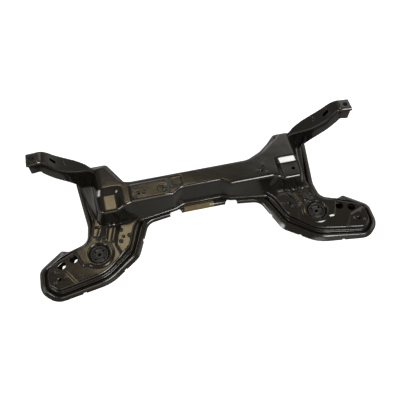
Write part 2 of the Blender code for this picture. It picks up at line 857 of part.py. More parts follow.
def build_horn_top(name, side, collection, cutters, envelope):
    radius = HORN_EDGE_RADIUS
    sections = []
    for crest, belly, y, width in horn_rows():
        depth = (belly - crest).length
        half = width / 2
        profile = [(depth, -half), (depth * 0.5, -half), (radius, -half), (radius * 0.3, -half + radius * 0.3)]
        profile += [(0.0, -half + radius), (0.0, 0.0), (0.0, half - radius)]
        profile += [(radius * 0.3, half - radius * 0.3), (radius, half), (depth * 0.5, half), (depth, half)]
        sections.append([horn_point(side, crest, belly, y, down, across) for down, across in profile])
    obj = lofted_sheet(name + "_horn_top", sections, collection, 1.0 if side > 0 else -1.0)
    reach = HORN_TIP_REACH - HORN_WALL_REACH
    notch = box_cutter(
        name + "_horn_tip_cutter", (2 * reach, 2 * HORN_WIDTH, 2 * HORN_DEPTH),
        (side * (HORN_BOLT_X + HORN_TIP_REACH), HORN_TIP_Y, HORN_TOP - HORN_TIP_LIP - HORN_DEPTH), cutters)
    cut(obj, notch)
    bolt = cylinder_cutter(
        name + "_horn_bolt_cutter", side * HORN_BOLT_X, HORN_BOLT_Y, HORN_BOLT_RADIUS,
        HORN_TOP - 2 * HORN_DEPTH, HORN_TOP + HORN_DEPTH, cutters)
    cut(obj, bolt)
    rows = horn_rows()
    crest, belly, y, width = rows[HORN_SLOT_STATION]
    outline = slot_outline(
        (-(HORN_SLOT_LENGTH - HORN_SLOT_WIDTH) / 2, 0.0), ((HORN_SLOT_LENGTH - HORN_SLOT_WIDTH) / 2, 0.0),
        HORN_SLOT_WIDTH)
    rings = [[Vector((p.x, p.y, z)) for p in outline] for z in (-0.015, 0.015)]
    slot = as_cutter(lofted_solid(name + "_horn_slot_cutter", rings, cutters))
    before = rows[HORN_SLOT_STATION - 1][0]
    after = rows[HORN_SLOT_STATION + 1][0]
    climb = math.atan2(after.y - before.y, after.x - before.x)
    slot.location = (side * crest[0], y, crest[1])
    slot.rotation_euler = (0.0, -side * climb, 0.0)
    cut(obj, slot)
    cut(obj, envelope)
    paint(obj, PAINT, 0.30, 0.0)
    return bolt


def build_horn_bottom(name, side, collection, cutters, envelope, bolt):
    inner = SHEET + HORN_NEST
    sections = []
    for crest, belly, y, width in horn_rows():
        if crest.x > HORN_BOLT_X:
            reach = HORN_BOLT_X + HORN_WALL_REACH - CLEAR - crest.x
            crest = crest + Vector((reach, 0.0))
            belly = belly + Vector((reach, 0.0))
        depth = (belly - crest).length
        half = width / 2 - inner
        radius = min(HORN_EDGE_RADIUS, half * 0.6)
        lap = min(HORN_LAP, depth * 0.6)
        profile = [(depth - lap, -half), (depth - radius, -half), (depth - radius * 0.3, -half + radius * 0.3)]
        profile += [(depth, -half + radius), (depth, half - radius)]
        profile += [(depth - radius * 0.3, half - radius * 0.3), (depth - radius, half), (depth - lap, half)]
        sections.append([horn_point(side, crest, belly, y, down, across) for down, across in profile])
    obj = lofted_sheet(name + "_horn_bottom", sections, collection, -1.0 if side > 0 else 1.0)
    cut(obj, bolt)
    cut(obj, envelope)
    paint(obj, PAINT, 0.35, 0.0)


def build_horn_sleeve(name, side, collection):
    top = HORN_TOP - SHEET - CLEAR
    foot = HORN_TOP - HORN_DEPTH + SHEET + CLEAR
    outer = HORN_BOLT_RADIUS + HORN_SLEEVE_WALL
    sleeve = turned(
        name + "_horn_sleeve",
        [(outer, top), (outer, foot), (HORN_BOLT_RADIUS, foot), (HORN_BOLT_RADIUS, top)],
        (side * HORN_BOLT_X, HORN_BOLT_Y, 0.0), collection, 20)
    paint(sleeve, ZINC, 0.5, 1.0)


# Plates inside the hat

def span(points, x):
    """Lowest and highest y where an outline crosses a line of constant x."""
    found = []
    for i, here in enumerate(points):
        there = points[i - 1]
        if (here.x > x) != (there.x > x):
            found.append(here.y + (x - here.x) * (there.y - here.y) / (there.x - here.x))
    return min(found), max(found)


def build_bulkhead(name, side, collection):
    """A plate that fills the hat from the lower pressing's flange to the underside of the top."""
    room = -SHEET - BULKHEAD_GAP
    stack = [(inset(wall_foot(), WALL_FOOT_ROLL - room), FLANGE_TOP + CLEAR)]
    stack += wall_rings(room)[3:]
    front = []
    rear = []
    for corners, height in stack:
        if callable(height):
            height = height(0.0, 0.0)
        points = rounded(corners)
        spans = [span(points, side * BULKHEAD_X + shift * BULKHEAD_THICK) for shift in (-0.5, 0.5)]
        front.append((max(low for low, _ in spans), height))
        rear.append((min(high for _, high in spans), height))
    profile = front + list(reversed(rear))
    rings = [
        [Vector((side * BULKHEAD_X + shift * BULKHEAD_THICK, y, z)) for y, z in profile]
        for shift in (-0.5, 0.5)
    ]
    obj = lofted_solid(name + "_bulkhead", rings, collection)
    paint(obj, PAINT, 0.5, 0.0)


def place_middle(collections):
    """Put the middle of the lower pressing's depth at Y = 0."""
    depth = [point.y for point in rounded(lower_trim())]
    origin = bpy.data.objects.new("front_axle_beam_origin", None)
    origin.location = (0.0, -(min(depth) + max(depth)) / 2, 0.0)
    collections[0].objects.link(origin)
    for collection in collections:
        for obj in collection.objects:
            if obj is not origin:
                obj.parent = origin


def main():
    clear_scene()
    parts = new_collection("front_axle_beam")
    cutters = new_collection("cutters")
    build_lower_pressing(parts, cutters)
    build_upper_pressing(parts)
    outside = beam_envelope("beam_outside", SEAM_GAP, cutters)
    for name, side in SIDES.items():
        build_arm_plate(name, side, parts, outside)
        rubber = build_bush(name, side, parts)
        cut_bush_voids(name, side, rubber, cutters)
        x, y = ARM_BOLT
        build_nut(name + "_arm_bolt_nut", side * x, y, ARM_TOP - SHEET, ARM_BOLT_RADIUS, parts)
        x, y = ARM_PILOT
        build_nut(
            name + "_arm_pilot_nut", side * x, y, ARM_TOP - SHEET, ARM_PILOT_RADIUS, parts, SIDE_PAD_RISE)
        bolt = build_horn_top(name, side, parts, cutters, outside)
        build_horn_bottom(name, side, parts, cutters, outside, bolt)
        build_horn_sleeve(name, side, parts)
        build_bulkhead(name, side, parts)
    for name, (x, y) in BEAM_NUTS.items():
        seat = BEAM_TOP + (PAD_RISE if x < 0.0 else 0.0) - SHEET
        build_nut(name, x, y, seat, NUT_HOLE_RADIUS, parts)
    place_middle([parts, cutters])


main()
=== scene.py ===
import math

import bmesh
import bpy
from mathutils import Matrix, Vector
from mathutils.geometry import delaunay_2d_cdt


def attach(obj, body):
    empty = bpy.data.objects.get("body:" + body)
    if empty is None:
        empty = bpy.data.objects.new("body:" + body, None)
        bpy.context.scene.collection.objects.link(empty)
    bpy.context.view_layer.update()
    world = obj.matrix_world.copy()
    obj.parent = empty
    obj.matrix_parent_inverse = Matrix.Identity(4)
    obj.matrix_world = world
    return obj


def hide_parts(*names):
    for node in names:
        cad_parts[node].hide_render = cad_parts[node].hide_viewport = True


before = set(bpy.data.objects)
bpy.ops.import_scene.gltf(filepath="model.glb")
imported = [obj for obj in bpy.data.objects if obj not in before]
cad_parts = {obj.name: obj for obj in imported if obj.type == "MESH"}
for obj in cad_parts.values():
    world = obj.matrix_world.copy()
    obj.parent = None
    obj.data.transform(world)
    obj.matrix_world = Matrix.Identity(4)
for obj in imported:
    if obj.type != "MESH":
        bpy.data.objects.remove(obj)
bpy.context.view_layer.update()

# Studio: a pale floor under the beam, a dim tent with soft lamps behind its cloth, and the
# photograph's camera. Floor and tent show white to the camera alone, and the floor keeps
# the beam's shadow.

PHOTO_PIXELS = 400
PLATEAU = Vector((0.0, 0.0060, 0.036))
AZIMUTH = math.radians(-14.275)
ELEVATION = math.radians(59.0)
ROLL = math.radians(1.394)
DISTANCE = 1.4292
FOCAL_PIXELS = 480.0
CENTRE_PIXEL = (202.57, 199.28)


def look_from(azimuth, elevation):
    return Vector((
        math.sin(azimuth) * math.cos(elevation),
        -math.cos(azimuth) * math.cos(elevation),
        math.sin(elevation)))


camera = bpy.data.objects.new("camera", bpy.data.cameras.new("camera"))
bpy.context.scene.collection.objects.link(camera)
bpy.context.scene.camera = camera
back = look_from(AZIMUTH, ELEVATION)
level = Vector((math.cos(AZIMUTH), math.sin(AZIMUTH), 0.0))
upright = back.cross(level)
right = level * math.cos(ROLL) + upright * math.sin(ROLL)
upward = upright * math.cos(ROLL) - level * math.sin(ROLL)
camera.matrix_world = Matrix.Translation(PLATEAU + back * DISTANCE) @ Matrix(
    (right, upward, back)).transposed().to_4x4()
camera.data.lens = camera.data.sensor_width * FOCAL_PIXELS / PHOTO_PIXELS
camera.data.shift_x = (PHOTO_PIXELS / 2 - CENTRE_PIXEL[0]) / PHOTO_PIXELS
camera.data.shift_y = (CENTRE_PIXEL[1] - PHOTO_PIXELS / 2) / PHOTO_PIXELS
camera.data.clip_end = 50.0
bpy.context.scene.view_settings.view_transform = "Standard"


class Wire:
    """A shader socket that Python's operators work on, and a way to add any node."""

    def __init__(self, tree, socket=None):
        self.tree = tree
        self.socket = socket

    def node(self, kind, settings=None, inputs=None, output=0):
        node = self.tree.nodes.new(kind)
        for name, value in (settings or {}).items():
            if name == "stops":
                ramp = node.color_ramp
                for i, (place, shade) in enumerate(value):
                    stop = ramp.elements[i] if i < 2 else ramp.elements.new(place)
                    stop.position = place
                    stop.color = (shade, shade, shade, 1.0)
            else:
                setattr(node, name, value)
        for name, value in (inputs or {}).items():
            if isinstance(value, Wire):
                self.tree.links.new(value.socket, node.inputs[name])
            else:
                node.inputs[name].default_value = value
        return Wire(self.tree, node.outputs[output])

    def maths(self, operation, first, second):
        return self.node("ShaderNodeMath", {"operation": operation}, {0: first, 1: second})

    def __add__(self, other):
        return self.maths("ADD", self, other)

    def __radd__(self, other):
        return self.maths("ADD", other, self)

    def __sub__(self, other):
        return self.maths("SUBTRACT", self, other)

    def __rsub__(self, other):
        return self.maths("SUBTRACT", other, self)

    def __mul__(self, other):
        return self.maths("MULTIPLY", self, other)

    def __rmul__(self, other):
        return self.maths("MULTIPLY", other, self)

    def __abs__(self):
        return self.maths("ABSOLUTE", self, 0.0)


def new_material(name):
    """A material with its Principled shader and a wire in its tree."""
    material = bpy.data.materials.new(name)
    material.use_nodes = True
    shader = material.node_tree.nodes["Principled BSDF"]
    return material, shader, Wire(material.node_tree)


# The tent is dim overhead and paler low down. Each lamp has a direction, the cosines where
# its soft edge starts and ends, a colour and a strength: the front lamp, two weak fills in
# front, two golden strips, one at the left, and weak ones behind and at the sides.
SOFT_LAMPS = [
    ((0.35, -0.42, 0.835), 0.966, 0.985, (1.0, 0.985, 0.96), 34.0),
    ((0.40, -0.82, 0.42), 0.920, 0.985, (1.0, 0.98, 0.95), 1.2),
    ((-0.10, -0.80, 0.58), 0.960, 0.985, (1.0, 0.92, 0.76), 4.0),
    ((-0.052, 0.464, 0.884), 0.9968, 0.9993, (1.0, 0.80, 0.46), 12.5),
    ((0.065, 0.455, 0.888), 0.9968, 0.9993, (1.0, 0.80, 0.46), 10.0),
    ((-0.69, -0.17, 0.70), 0.975, 0.992, (1.0, 0.985, 0.96), 17.0),
    ((0.37, 0.71, 0.60), 0.945, 0.975, (1.0, 0.97, 0.92), 2.1),
    ((-0.12, 0.66, 0.74), 0.965, 0.993, (1.0, 0.97, 0.92), 0.6),
    ((-0.93, 0.10, 0.25), 0.950, 0.985, (1.0, 0.99, 0.98), 2.2),
    ((0.93, -0.05, 0.22), 0.950, 0.985, (1.0, 0.99, 0.98), 2.2),
    ((-0.20, 0.93, 0.30), 0.930, 0.985, (1.0, 0.99, 0.98), 4.0),
]

sky = bpy.data.worlds.new("sky")
sky.use_nodes = True
bpy.context.scene.world = sky
wire = Wire(sky.node_tree)
direction = wire.node("ShaderNodeTexCoord", output="Generated")
height = wire.node("ShaderNodeSeparateXYZ", inputs={0: direction}, output="Z")
fade = wire.node(
    "ShaderNodeValToRGB", {"stops": [(0.0, 0.45), (1.0, 0.0), (0.40, 0.45), (0.75, 0.08)]}, {0: height})
dark = wire.node("ShaderNodeBackground", inputs={"Color": (1.0, 0.92, 0.80, 1.0), "Strength": 0.30})
white = wire.node("ShaderNodeBackground", inputs={"Color": (1.0, 0.985, 0.96, 1.0), "Strength": 0.5})
tent = wire.node("ShaderNodeMixShader", inputs={0: fade, 1: dark, 2: white})
for aim, start, full, colour, strength in SOFT_LAMPS:
    closeness = wire.node("ShaderNodeVectorMath", {"operation": "DOT_PRODUCT"}, {
        0: direction, 1: Vector(aim).normalized()}, output="Value")
    mask = wire.node("ShaderNodeMapRange", {"interpolation_type": "SMOOTHSTEP"}, {
        "Value": closeness, "From Min": start, "From Max": full})
    lamp = wire.node("ShaderNodeBackground", inputs={"Color": (*colour, 1.0), "Strength": strength})
    tent = wire.node("ShaderNodeMixShader", inputs={0: mask, 1: tent, 2: lamp})
seen = wire.node("ShaderNodeLightPath", output="Is Camera Ray")
plain = wire.node("ShaderNodeBackground", inputs={"Color": (1.0, 1.0, 1.0, 1.0), "Strength": 1.0})
tent = wire.node("ShaderNodeMixShader", inputs={0: seen, 1: tent, 2: plain})
sky.node_tree.links.new(tent.socket, sky.node_tree.nodes["World Output"].inputs["Surface"])

bpy.ops.mesh.primitive_plane_add(size=8.0, location=(0.0, 0.0, -0.0006))
floor = bpy.context.object
floor.name = "floor"
material, shader, wire = new_material("pale_floor")
shader.inputs["Base Color"].default_value = (0.21, 0.21, 0.207, 1.0)
shader.inputs["Roughness"].default_value = 0.8
seen = wire.node("ShaderNodeLightPath", output="Is Camera Ray")
glow = wire.node("ShaderNodeMix", {"data_type": "RGBA"}, {
    "Factor": seen, "A": (0.0, 0.0, 0.0, 1.0), "B": (0.95, 0.95, 0.95, 1.0)}, output="Result")
shader.inputs["Emission Strength"].default_value = 1.0
wire.tree.links.new(glow.socket, shader.inputs["Emission Color"])
floor.data.materials.append(material)


# Black dip paint on every pressing: a thin glossy coat, brown-black in the light, with a
# faint orange peel and the slow waves of the drawn sheet below it. On a patch of the flange
# at the middle of the front a golden reflection is painted into its colour, and it is rougher there.

material, shader, wire = new_material("black_dip_paint")
place = wire.node("ShaderNodeTexCoord", output="Object")
drift = wire.node("ShaderNodeTexNoise", inputs={"Vector": place, "Scale": 14.0, "Detail": 4.0})
fine = wire.node("ShaderNodeTexNoise", inputs={"Vector": place, "Scale": 260.0, "Detail": 2.0})
peel = wire.node("ShaderNodeTexNoise", inputs={"Vector": place, "Scale": 620.0, "Detail": 1.0})
waves = wire.node("ShaderNodeTexNoise", inputs={"Vector": place, "Scale": 22.0, "Detail": 1.5})
tone = wire.node("ShaderNodeMix", {"data_type": "RGBA"}, {
    "Factor": drift, "A": (0.0024, 0.0020, 0.0015, 1.0), "B": (0.0042, 0.0034, 0.0023, 1.0)}, output="Result")
across = wire.node("ShaderNodeSeparateXYZ", inputs={0: place}, output="X")
along = wire.node("ShaderNodeSeparateXYZ", inputs={0: place}, output="Y")
# Mask of the flange patch at the middle of the front, where a golden reflection is painted into the colour
reach = wire.node("ShaderNodeMapRange", inputs={
    "Value": abs(across + 0.013), "From Min": 0.047, "From Max": 0.043})
front = wire.node("ShaderNodeMapRange", inputs={"Value": along, "From Min": 0.006, "From Max": 0.001})
painted_reflection_patch = reach * front * (0.55 + drift * 0.5)
tone = wire.node("ShaderNodeMix", {"data_type": "RGBA"}, {
    "Factor": painted_reflection_patch, "A": tone, "B": (0.070, 0.053, 0.026, 1.0)}, output="Result")
rough = 0.10 + drift * 0.08 + fine * 0.04 + painted_reflection_patch * 0.15
bumps = waves * 0.9 + peel * 0.035
relief = wire.node("ShaderNodeBump", inputs={
    "Strength": 0.5, "Distance": 0.0012, "Height": bumps}, output="Normal")
wire.tree.links.new(tone.socket, shader.inputs["Base Color"])
wire.tree.links.new(rough.socket, shader.inputs["Roughness"])
wire.tree.links.new(relief.socket, shader.inputs["Normal"])
shader.inputs["IOR"].default_value = 1.5
shader.inputs["Specular IOR Level"].default_value = 0.36
black_paint = material


# Lower pressing: one tray under the whole beam, drawn and trimmed from 2.5 mm steel sheet.
# Its cut edge hangs below a rolled ridge, a groove runs inside the ridge, and the pan is
# sunk to the floor. All the other pressings are welded onto it.

SHEET = 0.0025
FLOOR_TO_TRIM = 0.012
FLANGE_TOP = 0.022
SHIFT = PLATEAU.y

# Outlines are corners (x, y, fillet radius) on the +X side, from the front middle to the
# rear middle. Both sides share the front, and each has a rear of its own.
TRIM = [
    (0.060, -0.0185, 0.100), (0.170, -0.0335, 0.032), (0.212, -0.1330, 0.045), (0.298, -0.1945, 0.110),
    (0.448, -0.2190, 0.048), (0.490, -0.1810, 0.050), (0.490, -0.1140, 0.030), (0.426, -0.0660, 0.004),
    (0.4045, -0.0725, 0.010), (0.3515, -0.0555, 0.030), (0.345, -0.0050, 0.060),
]
TRIM_REAR = {
    1: [
        (0.379, 0.1580, 0.040), (0.338, 0.2044, 0.030), (0.286, 0.2044, 0.018),
        (0.236, 0.1540, 0.050), (0.168, 0.1220, 0.050), (0.140, 0.1100, 0.040),
    ],
    -1: [
        (0.366, 0.1580, 0.040), (0.330, 0.2044, 0.030), (0.2660, 0.2044, 0.014),
        (0.217, 0.1230, 0.040), (0.185, 0.1095, 0.040),
    ],
}
RIDGE = [
    (0.060, -0.0060, 0.100), (0.1805, -0.0165, 0.047), (0.2245, -0.1245, 0.030), (0.3025, -0.1845, 0.095),
    (0.4430, -0.2095, 0.038), (0.4770, -0.1770, 0.038), (0.4770, -0.1215, 0.028), (0.4280, -0.0870, 0.050),
    (0.4050, -0.0790, 0.050), (0.3465, -0.0625, 0.034), (0.3370, -0.0050, 0.060),
]
RIDGE_REAR = {
    1: [
        (0.3645, 0.1530, 0.030), (0.331, 0.1890, 0.022), (0.283, 0.1890, 0.012),
        (0.2385, 0.1430, 0.050), (0.175, 0.1090, 0.060), (0.143, 0.0970, 0.050),
    ],
    -1: [
        (0.3545, 0.1530, 0.030), (0.324, 0.1890, 0.022), (0.272, 0.1890, 0.012),
        (0.224, 0.1065, 0.045), (0.188, 0.0970, 0.050),
    ],
}


def both_sides(plus, minus):
    return list(plus) + [(-x, y, radius) for x, y, radius in reversed(list(minus))]


def inset(corners, distance):
    """Move every edge of a counter-clockwise outline inwards and fit its fillets."""
    moved = []
    for i, (x, y, radius) in enumerate(corners):
        here = Vector((x, y))
        before = (here - Vector(corners[i - 1][:2])).normalized()
        after = (Vector(corners[(i + 1) % len(corners)][:2]) - here).normalized()
        first = Vector((-before.y, before.x))
        second = Vector((-after.y, after.x))
        shift = (first + second) * (distance / (1.0 + first.dot(second)))
        grown = radius - distance if before.cross(after) > 0.0 else radius + distance
        moved.append((x + shift.x, y + shift.y, max(grown, 0.0012)))
    return moved


def between(first, second, share):
    return [tuple(a + (b - a) * share for a, b in zip(one, two)) for one, two in zip(first, second)]


def matching(outlines):
    """How many steps each fillet and each straight gets, the same for all the outlines."""
    arcs = []
    straights = []
    size = len(outlines[0])
    for i in range(size):
        bends = []
        lengths = []
        for corners in outlines:
            here = Vector(corners[i][:2])
            on = Vector(corners[(i + 1) % size][:2]) - here
            bends.append((here - Vector(corners[i - 1][:2])).angle(on))
            lengths.append(on.length)
        arcs.append(max(2, math.ceil(max(bends) / FILLET_TURN)))
        straights.append(max(1, round(max(lengths) / LONGEST_STEP)))
    return arcs, straights


def traced(corners, steps):
    """Points round an outline of filleted corners."""
    arcs, straights = steps
    pieces = []
    for i, (x, y, radius) in enumerate(corners):
        here = Vector((x, y))
        back_way = Vector(corners[i - 1][:2]) - here
        on_way = Vector(corners[(i + 1) % len(corners)][:2]) - here
        half = back_way.angle(on_way) / 2.0
        reach = min(radius / math.tan(half), 0.48 * back_way.length, 0.48 * on_way.length)
        fitted = reach * math.tan(half)
        start = here + back_way.normalized() * reach
        middle = here + (back_way.normalized() + on_way.normalized()).normalized() * (fitted / math.sin(half))
        sweep = (start - middle).angle_signed(here + on_way.normalized() * reach - middle, 0.0)
        arc = []
        for step in range(arcs[i] + 1):
            arm = (start - middle).copy()
            arm.rotate(Matrix.Rotation(-sweep * step / arcs[i], 2))
            arc.append(middle + arm)
        pieces.append(arc)
    points = []
    for i, arc in enumerate(pieces):
        points += arc
        following = pieces[(i + 1) % len(pieces)][0]
        for step in range(1, straights[i]):
            points.append(arc[-1].lerp(following, step / straights[i]))
    return points


def encloses(polygon, x, y):
    odd = False
    for i, here in enumerate(polygon):
        there = polygon[i - 1]
        if (here.y > y) != (there.y > y):
            if x < (there.x - here.x) * (y - here.y) / (there.y - here.y) + here.x:
                odd = not odd
    return odd


def round_points(x, y, radius, count):
    return [
        Vector((x + radius * math.cos(math.tau * i / count), y + radius * math.sin(math.tau * i / count)))
        for i in range(count)
    ]


def smooth(value):
    value = min(max(value, 0.0), 1.0)
    return value * value * (3.0 - 2.0 * value)


# How finely a sheet is drawn: the most turn per step of a fillet, the longest step on a
# straight, and the room kept free of filling points round holes, spots and seams
FILLET_TURN = math.radians(8)
LONGEST_STEP = 0.012
HOLE_RIM = 0.0012
HOLE_CLEAR = 0.0026
SPOT_CLEAR = 0.0008
SEAM_CLEAR = 0.0042
SEAM_PITCH = 0.0026
SEAM_OFFSETS = (-0.0030, -0.0016, 0.0, 0.0016, 0.0030)
ROW_SHARE = 0.87


def drawn_sheet(name, rings, pitch, holes=(), spots=(), seams=()):
    """Draw a pressing: pull ring after ring out of its cut edge, then close the middle.

    A ring is (corners, height), where height is a number or a function of x and y. The
    middle is filled with points a pitch apart at the last ring's height, round the holes,
    with finer points round the spots and along the seams, which run across at one y.
    """
    steps = matching([corners for corners, _ in rings])
    drawn = []
    for corners, height in rings:
        form = height if callable(height) else (lambda x, y, level=height: level)
        drawn.append([Vector((p.x, p.y, form(p.x, p.y))) for p in traced(corners, steps)])
    bpy.ops.object.select_all(action="DESELECT")
    bpy.ops.mesh.primitive_circle_add(vertices=len(drawn[0]), radius=1.0)
    obj = bpy.context.object
    obj.name = name
    obj.data.name = name
    bpy.ops.object.mode_set(mode="EDIT")
    shape = bmesh.from_edit_mesh(obj.data)
    shape.verts.ensure_lookup_table()
    for vert, place in zip(shape.verts, drawn[0]):
        vert.co = place
    bmesh.update_edit_mesh(obj.data)
    bpy.ops.mesh.select_all(action="SELECT")
    for before, ring in zip(drawn, drawn[1:]):
        bpy.ops.mesh.extrude_edges_move()
        shape = bmesh.from_edit_mesh(obj.data)
        fresh = {tuple(round(v, 6) for v in vert.co): vert for vert in shape.verts if vert.select}
        found = [fresh[tuple(round(v, 6) for v in Vector(place))] for place in before]
        for vert, place in zip(found, ring):
            vert.co = place
        bmesh.update_edit_mesh(obj.data)
    bpy.ops.object.mode_set(mode="OBJECT")
    shape = bmesh.new()
    shape.from_mesh(obj.data)
    by_place = {tuple(round(v, 6) for v in vert.co): vert for vert in shape.verts}
    rim = [by_place[tuple(round(v, 6) for v in Vector(place))] for place in drawn[-1]]
    bound = [Vector(vert.co[:2]) for vert in rim]
    last = rings[-1][0]
    form = rings[-1][1] if callable(rings[-1][1]) else (lambda x, y: rings[-1][1])
    edges = [(i, (i + 1) % len(bound)) for i in range(len(bound))]
    flat = list(bound)
    cuts = []
    for x, y, radius in holes:
        count = max(20, round(radius * 3000))
        hole = round_points(x, y, radius, count)
        cuts.append(hole)
        edges += [(len(flat) + i, len(flat) + (i + 1) % count) for i in range(count)]
        flat += hole
        flat += round_points(x, y, radius + HOLE_RIM, count)
    keep = traced(inset(last, pitch * 0.5), matching([last]))
    for x, y, radii in spots:
        for radius in radii:
            dots = round_points(x, y, radius, max(12, round(radius * 4500)))
            flat += [p for p in dots if encloses(keep, p.x, p.y)]
    for start, end, seam in seams:
        for off in SEAM_OFFSETS:
            count = int((end - start) / SEAM_PITCH)
            line = [Vector((start + SEAM_PITCH * i, seam + off)) for i in range(count)]
            flat += [p for p in line if encloses(keep, p.x, p.y)]
    low_x, high_x = min(p.x for p in bound), max(p.x for p in bound)
    low_y, high_y = min(p.y for p in bound), max(p.y for p in bound)
    row = 0
    y = low_y
    while y < high_y:
        x = low_x + (pitch * 0.5 if row % 2 else 0.0)
        while x < high_x:
            free = all(
                (x - at_x) ** 2 + (y - at_y) ** 2 > (radius + HOLE_CLEAR) ** 2
                for at_x, at_y, radius in holes)
            free = free and all(
                (x - at_x) ** 2 + (y - at_y) ** 2 > (max(radii) + SPOT_CLEAR) ** 2
                for at_x, at_y, radii in spots)
            free = free and not any(
                start < x < end and abs(y - seam) < SEAM_CLEAR for start, end, seam in seams)
            if free and encloses(keep, x, y):
                flat.append(Vector((x, y)))
            x += pitch
        y += pitch * ROW_SHARE
        row += 1
    verts, _, faces, origins, _, _ = delaunay_2d_cdt(flat, edges, [], 1, 1e-7)
    made = []
    for vert, origin in zip(verts, origins):
        known = [i for i in origin if i < len(rim)]
        made.append(rim[known[0]] if known else shape.verts.new((vert.x, vert.y, form(vert.x, vert.y))))
    for face in faces:
        middle = sum((verts[i] for i in face), Vector((0.0, 0.0))) / len(face)
        if not any(encloses(hole, middle.x, middle.y) for hole in cuts):
            shape.faces.new([made[i] for i in face])
    bmesh.ops.delete(shape, geom=[vert for vert in shape.verts if not vert.link_faces], context="VERTS")
    for face in shape.faces:
        face.normal_update()
        if face.normal.z < 0.0:
            face.normal_flip()
    shape.to_mesh(obj.data)
    shape.free()
    return obj


def moved_back(obj):
    """From the beam's own outline to the frame that the CAD model stands in."""
    for vert in obj.data.vertices:
        vert.co.y += SHIFT


def apply_all(obj):
    bpy.ops.object.select_all(action="DESELECT")
    obj.select_set(True)
    bpy.context.view_layer.objects.active = obj
    for modifier in list(obj.modifiers):
        bpy.ops.object.modifier_apply(modifier=modifier.name)


def cut_with(obj, cutter):
    cut = obj.modifiers.new("cut", "BOOLEAN")
    cut.object = cutter
    cut.solver = "MANIFOLD"
    apply_all(obj)


def drop(*objects):
    for obj in objects:
        bpy.data.objects.remove(obj, do_unlink=True)


def thickened(obj, offset=-1.0):
    wall = obj.modifiers.new("sheet", "SOLIDIFY")
    wall.thickness = SHEET
    wall.offset = offset
    wall.use_even_offset = True
    apply_all(obj)


SHARP_ANGLE = math.radians(38.0)


def finished(obj, material, slot_name, *nodes):
    """Give a piece its paint, smooth it, and let it stand for its nodes."""
    bpy.ops.object.select_all(action="DESELECT")
    obj.select_set(True)
    bpy.context.view_layer.objects.active = obj
    bpy.ops.object.shade_smooth_by_angle(angle=SHARP_ANGLE)
    obj.data.materials.clear()
    obj.data.materials.append(material)
    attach(obj, "root")
    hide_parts(*nodes)


ACCESS_HOLES = [(0.391, -0.110, 0.0115), (0.4245, -0.122, 0.0115)]
ARM_BOLT = (0.434, -0.160, 0.0068)
ARM_PILOT = (0.2470, -0.0715, 0.0055)
BUSH_CENTRE = (0.3205, -0.1090)
SLEEVE_RADIUS = 0.0095
DRAIN = (0.082, 0.0430, 0.007)
SCALLOP = (0.084, -0.0245, 0.0185)
NOTCH = (0.009, 0.006, 0.06)
LEFT_OPENING_SHIFT = (0.0040, 0.0040)
LEFT_OPENING_RADIUS = 0.0095

right_trim = TRIM[:2] + [
    (0.209, -0.1360, 0.045), (0.2975, -0.2000, 0.110), (0.448, -0.2185, 0.048),
    *TRIM[5:-2], (0.3570, -0.0545, 0.030), (0.3510, -0.0050, 0.060)]
trim = both_sides(right_trim + TRIM_REAR[1], TRIM + TRIM_REAR[-1])
ridge = both_sides(RIDGE + RIDGE_REAR[1], RIDGE + RIDGE_REAR[-1])


# Heights of the flange from its cut edge (0) up to the ridge (1), on the lobes and between
# them, and then heights at distances inwards from the ridge: groove, ledge and pan
LOBE_SKIRT = {0.10: 0.0131, 0.22: 0.0146, 0.34: 0.0160, 0.60: 0.0190, 0.84: 0.0212, 0.92: 0.0217}
MIDDLE_SKIRT = {0.10: 0.0158, 0.22: 0.0190, 0.34: 0.0203, 0.60: 0.0210, 0.84: 0.0215, 0.92: 0.0216}
LOBE_START = 0.165
LOBE_RUN = 0.03
PATCH_ENDS = (-0.060, 0.034)
PATCH_RUN = 0.006
PATCH_RISE = 0.0012
INSIDE_RIDGE = [
    (0.0005, 0.0220), (0.0017, 0.0216), (0.0029, 0.0202), (0.0041, 0.0174), (0.0053, 0.0150),
    (0.0066, 0.0143), (0.0079, 0.0156), (0.0090, 0.0188), (0.0099, 0.0212), (0.0110, 0.0220),
    (0.0166, 0.0220), (0.0182, 0.0208), (0.0207, 0.0130), (0.0230, 0.0050), (0.0244, 0.0031),
    (0.0266, SHEET),
]


def skirt(share):
    def form(x, y):
        lobe = smooth((abs(x) - LOBE_START) / LOBE_RUN)
        patch = smooth((x - PATCH_ENDS[0]) / PATCH_RUN) * smooth((PATCH_ENDS[1] - x) / PATCH_RUN)
        patch *= smooth((share - 0.1) * 4.0)
        return LOBE_SKIRT[share] * lobe + (MIDDLE_SKIRT[share] + PATCH_RISE * patch) * (1.0 - lobe)
    return form


rings = [
    (trim, FLOOR_TO_TRIM),
    *[(between(trim, ridge, share), skirt(share)) for share in LOBE_SKIRT],
    *[(inset(ridge, inwards), height) for inwards, height in INSIDE_RIDGE],
]
holes = []
for side in (-1, 1):
    shared = [ARM_BOLT, DRAIN] if side < 0 else ACCESS_HOLES + [ARM_BOLT, DRAIN]
    holes += [(side * x, y, radius) for x, y, radius in shared]
    holes.append((side * BUSH_CENTRE[0], BUSH_CENTRE[1], SLEEVE_RADIUS))
lower = drawn_sheet("lower_pressing_sheet", rings, 0.012, holes)
moved_back(lower)
thickened(lower)
for side in (-1, 1):
    bpy.ops.mesh.primitive_cylinder_add(
        vertices=64, radius=SCALLOP[2], depth=0.06, location=(side * SCALLOP[0], SHIFT + SCALLOP[1], 0.02))
    scallop = bpy.context.object
    cut_with(lower, scallop)
    drop(scallop)
    cut_edge = TRIM if side < 0 else right_trim
    for (x, y, _), (on_x, on_y, _) in zip(cut_edge[1:4], cut_edge[2:5]):
        bpy.ops.mesh.primitive_cube_add(
            size=1.0, location=(side * (x + on_x) / 2, (y + on_y) / 2 + SHIFT, 0.02))
        notch = bpy.context.object
        notch.scale = NOTCH
        notch.rotation_euler = (0.0, 0.0, side * math.atan2(on_y - y, on_x - x))
        bpy.ops.object.transform_apply(location=False, rotation=False, scale=True)
        cut_with(lower, notch)
        drop(notch)
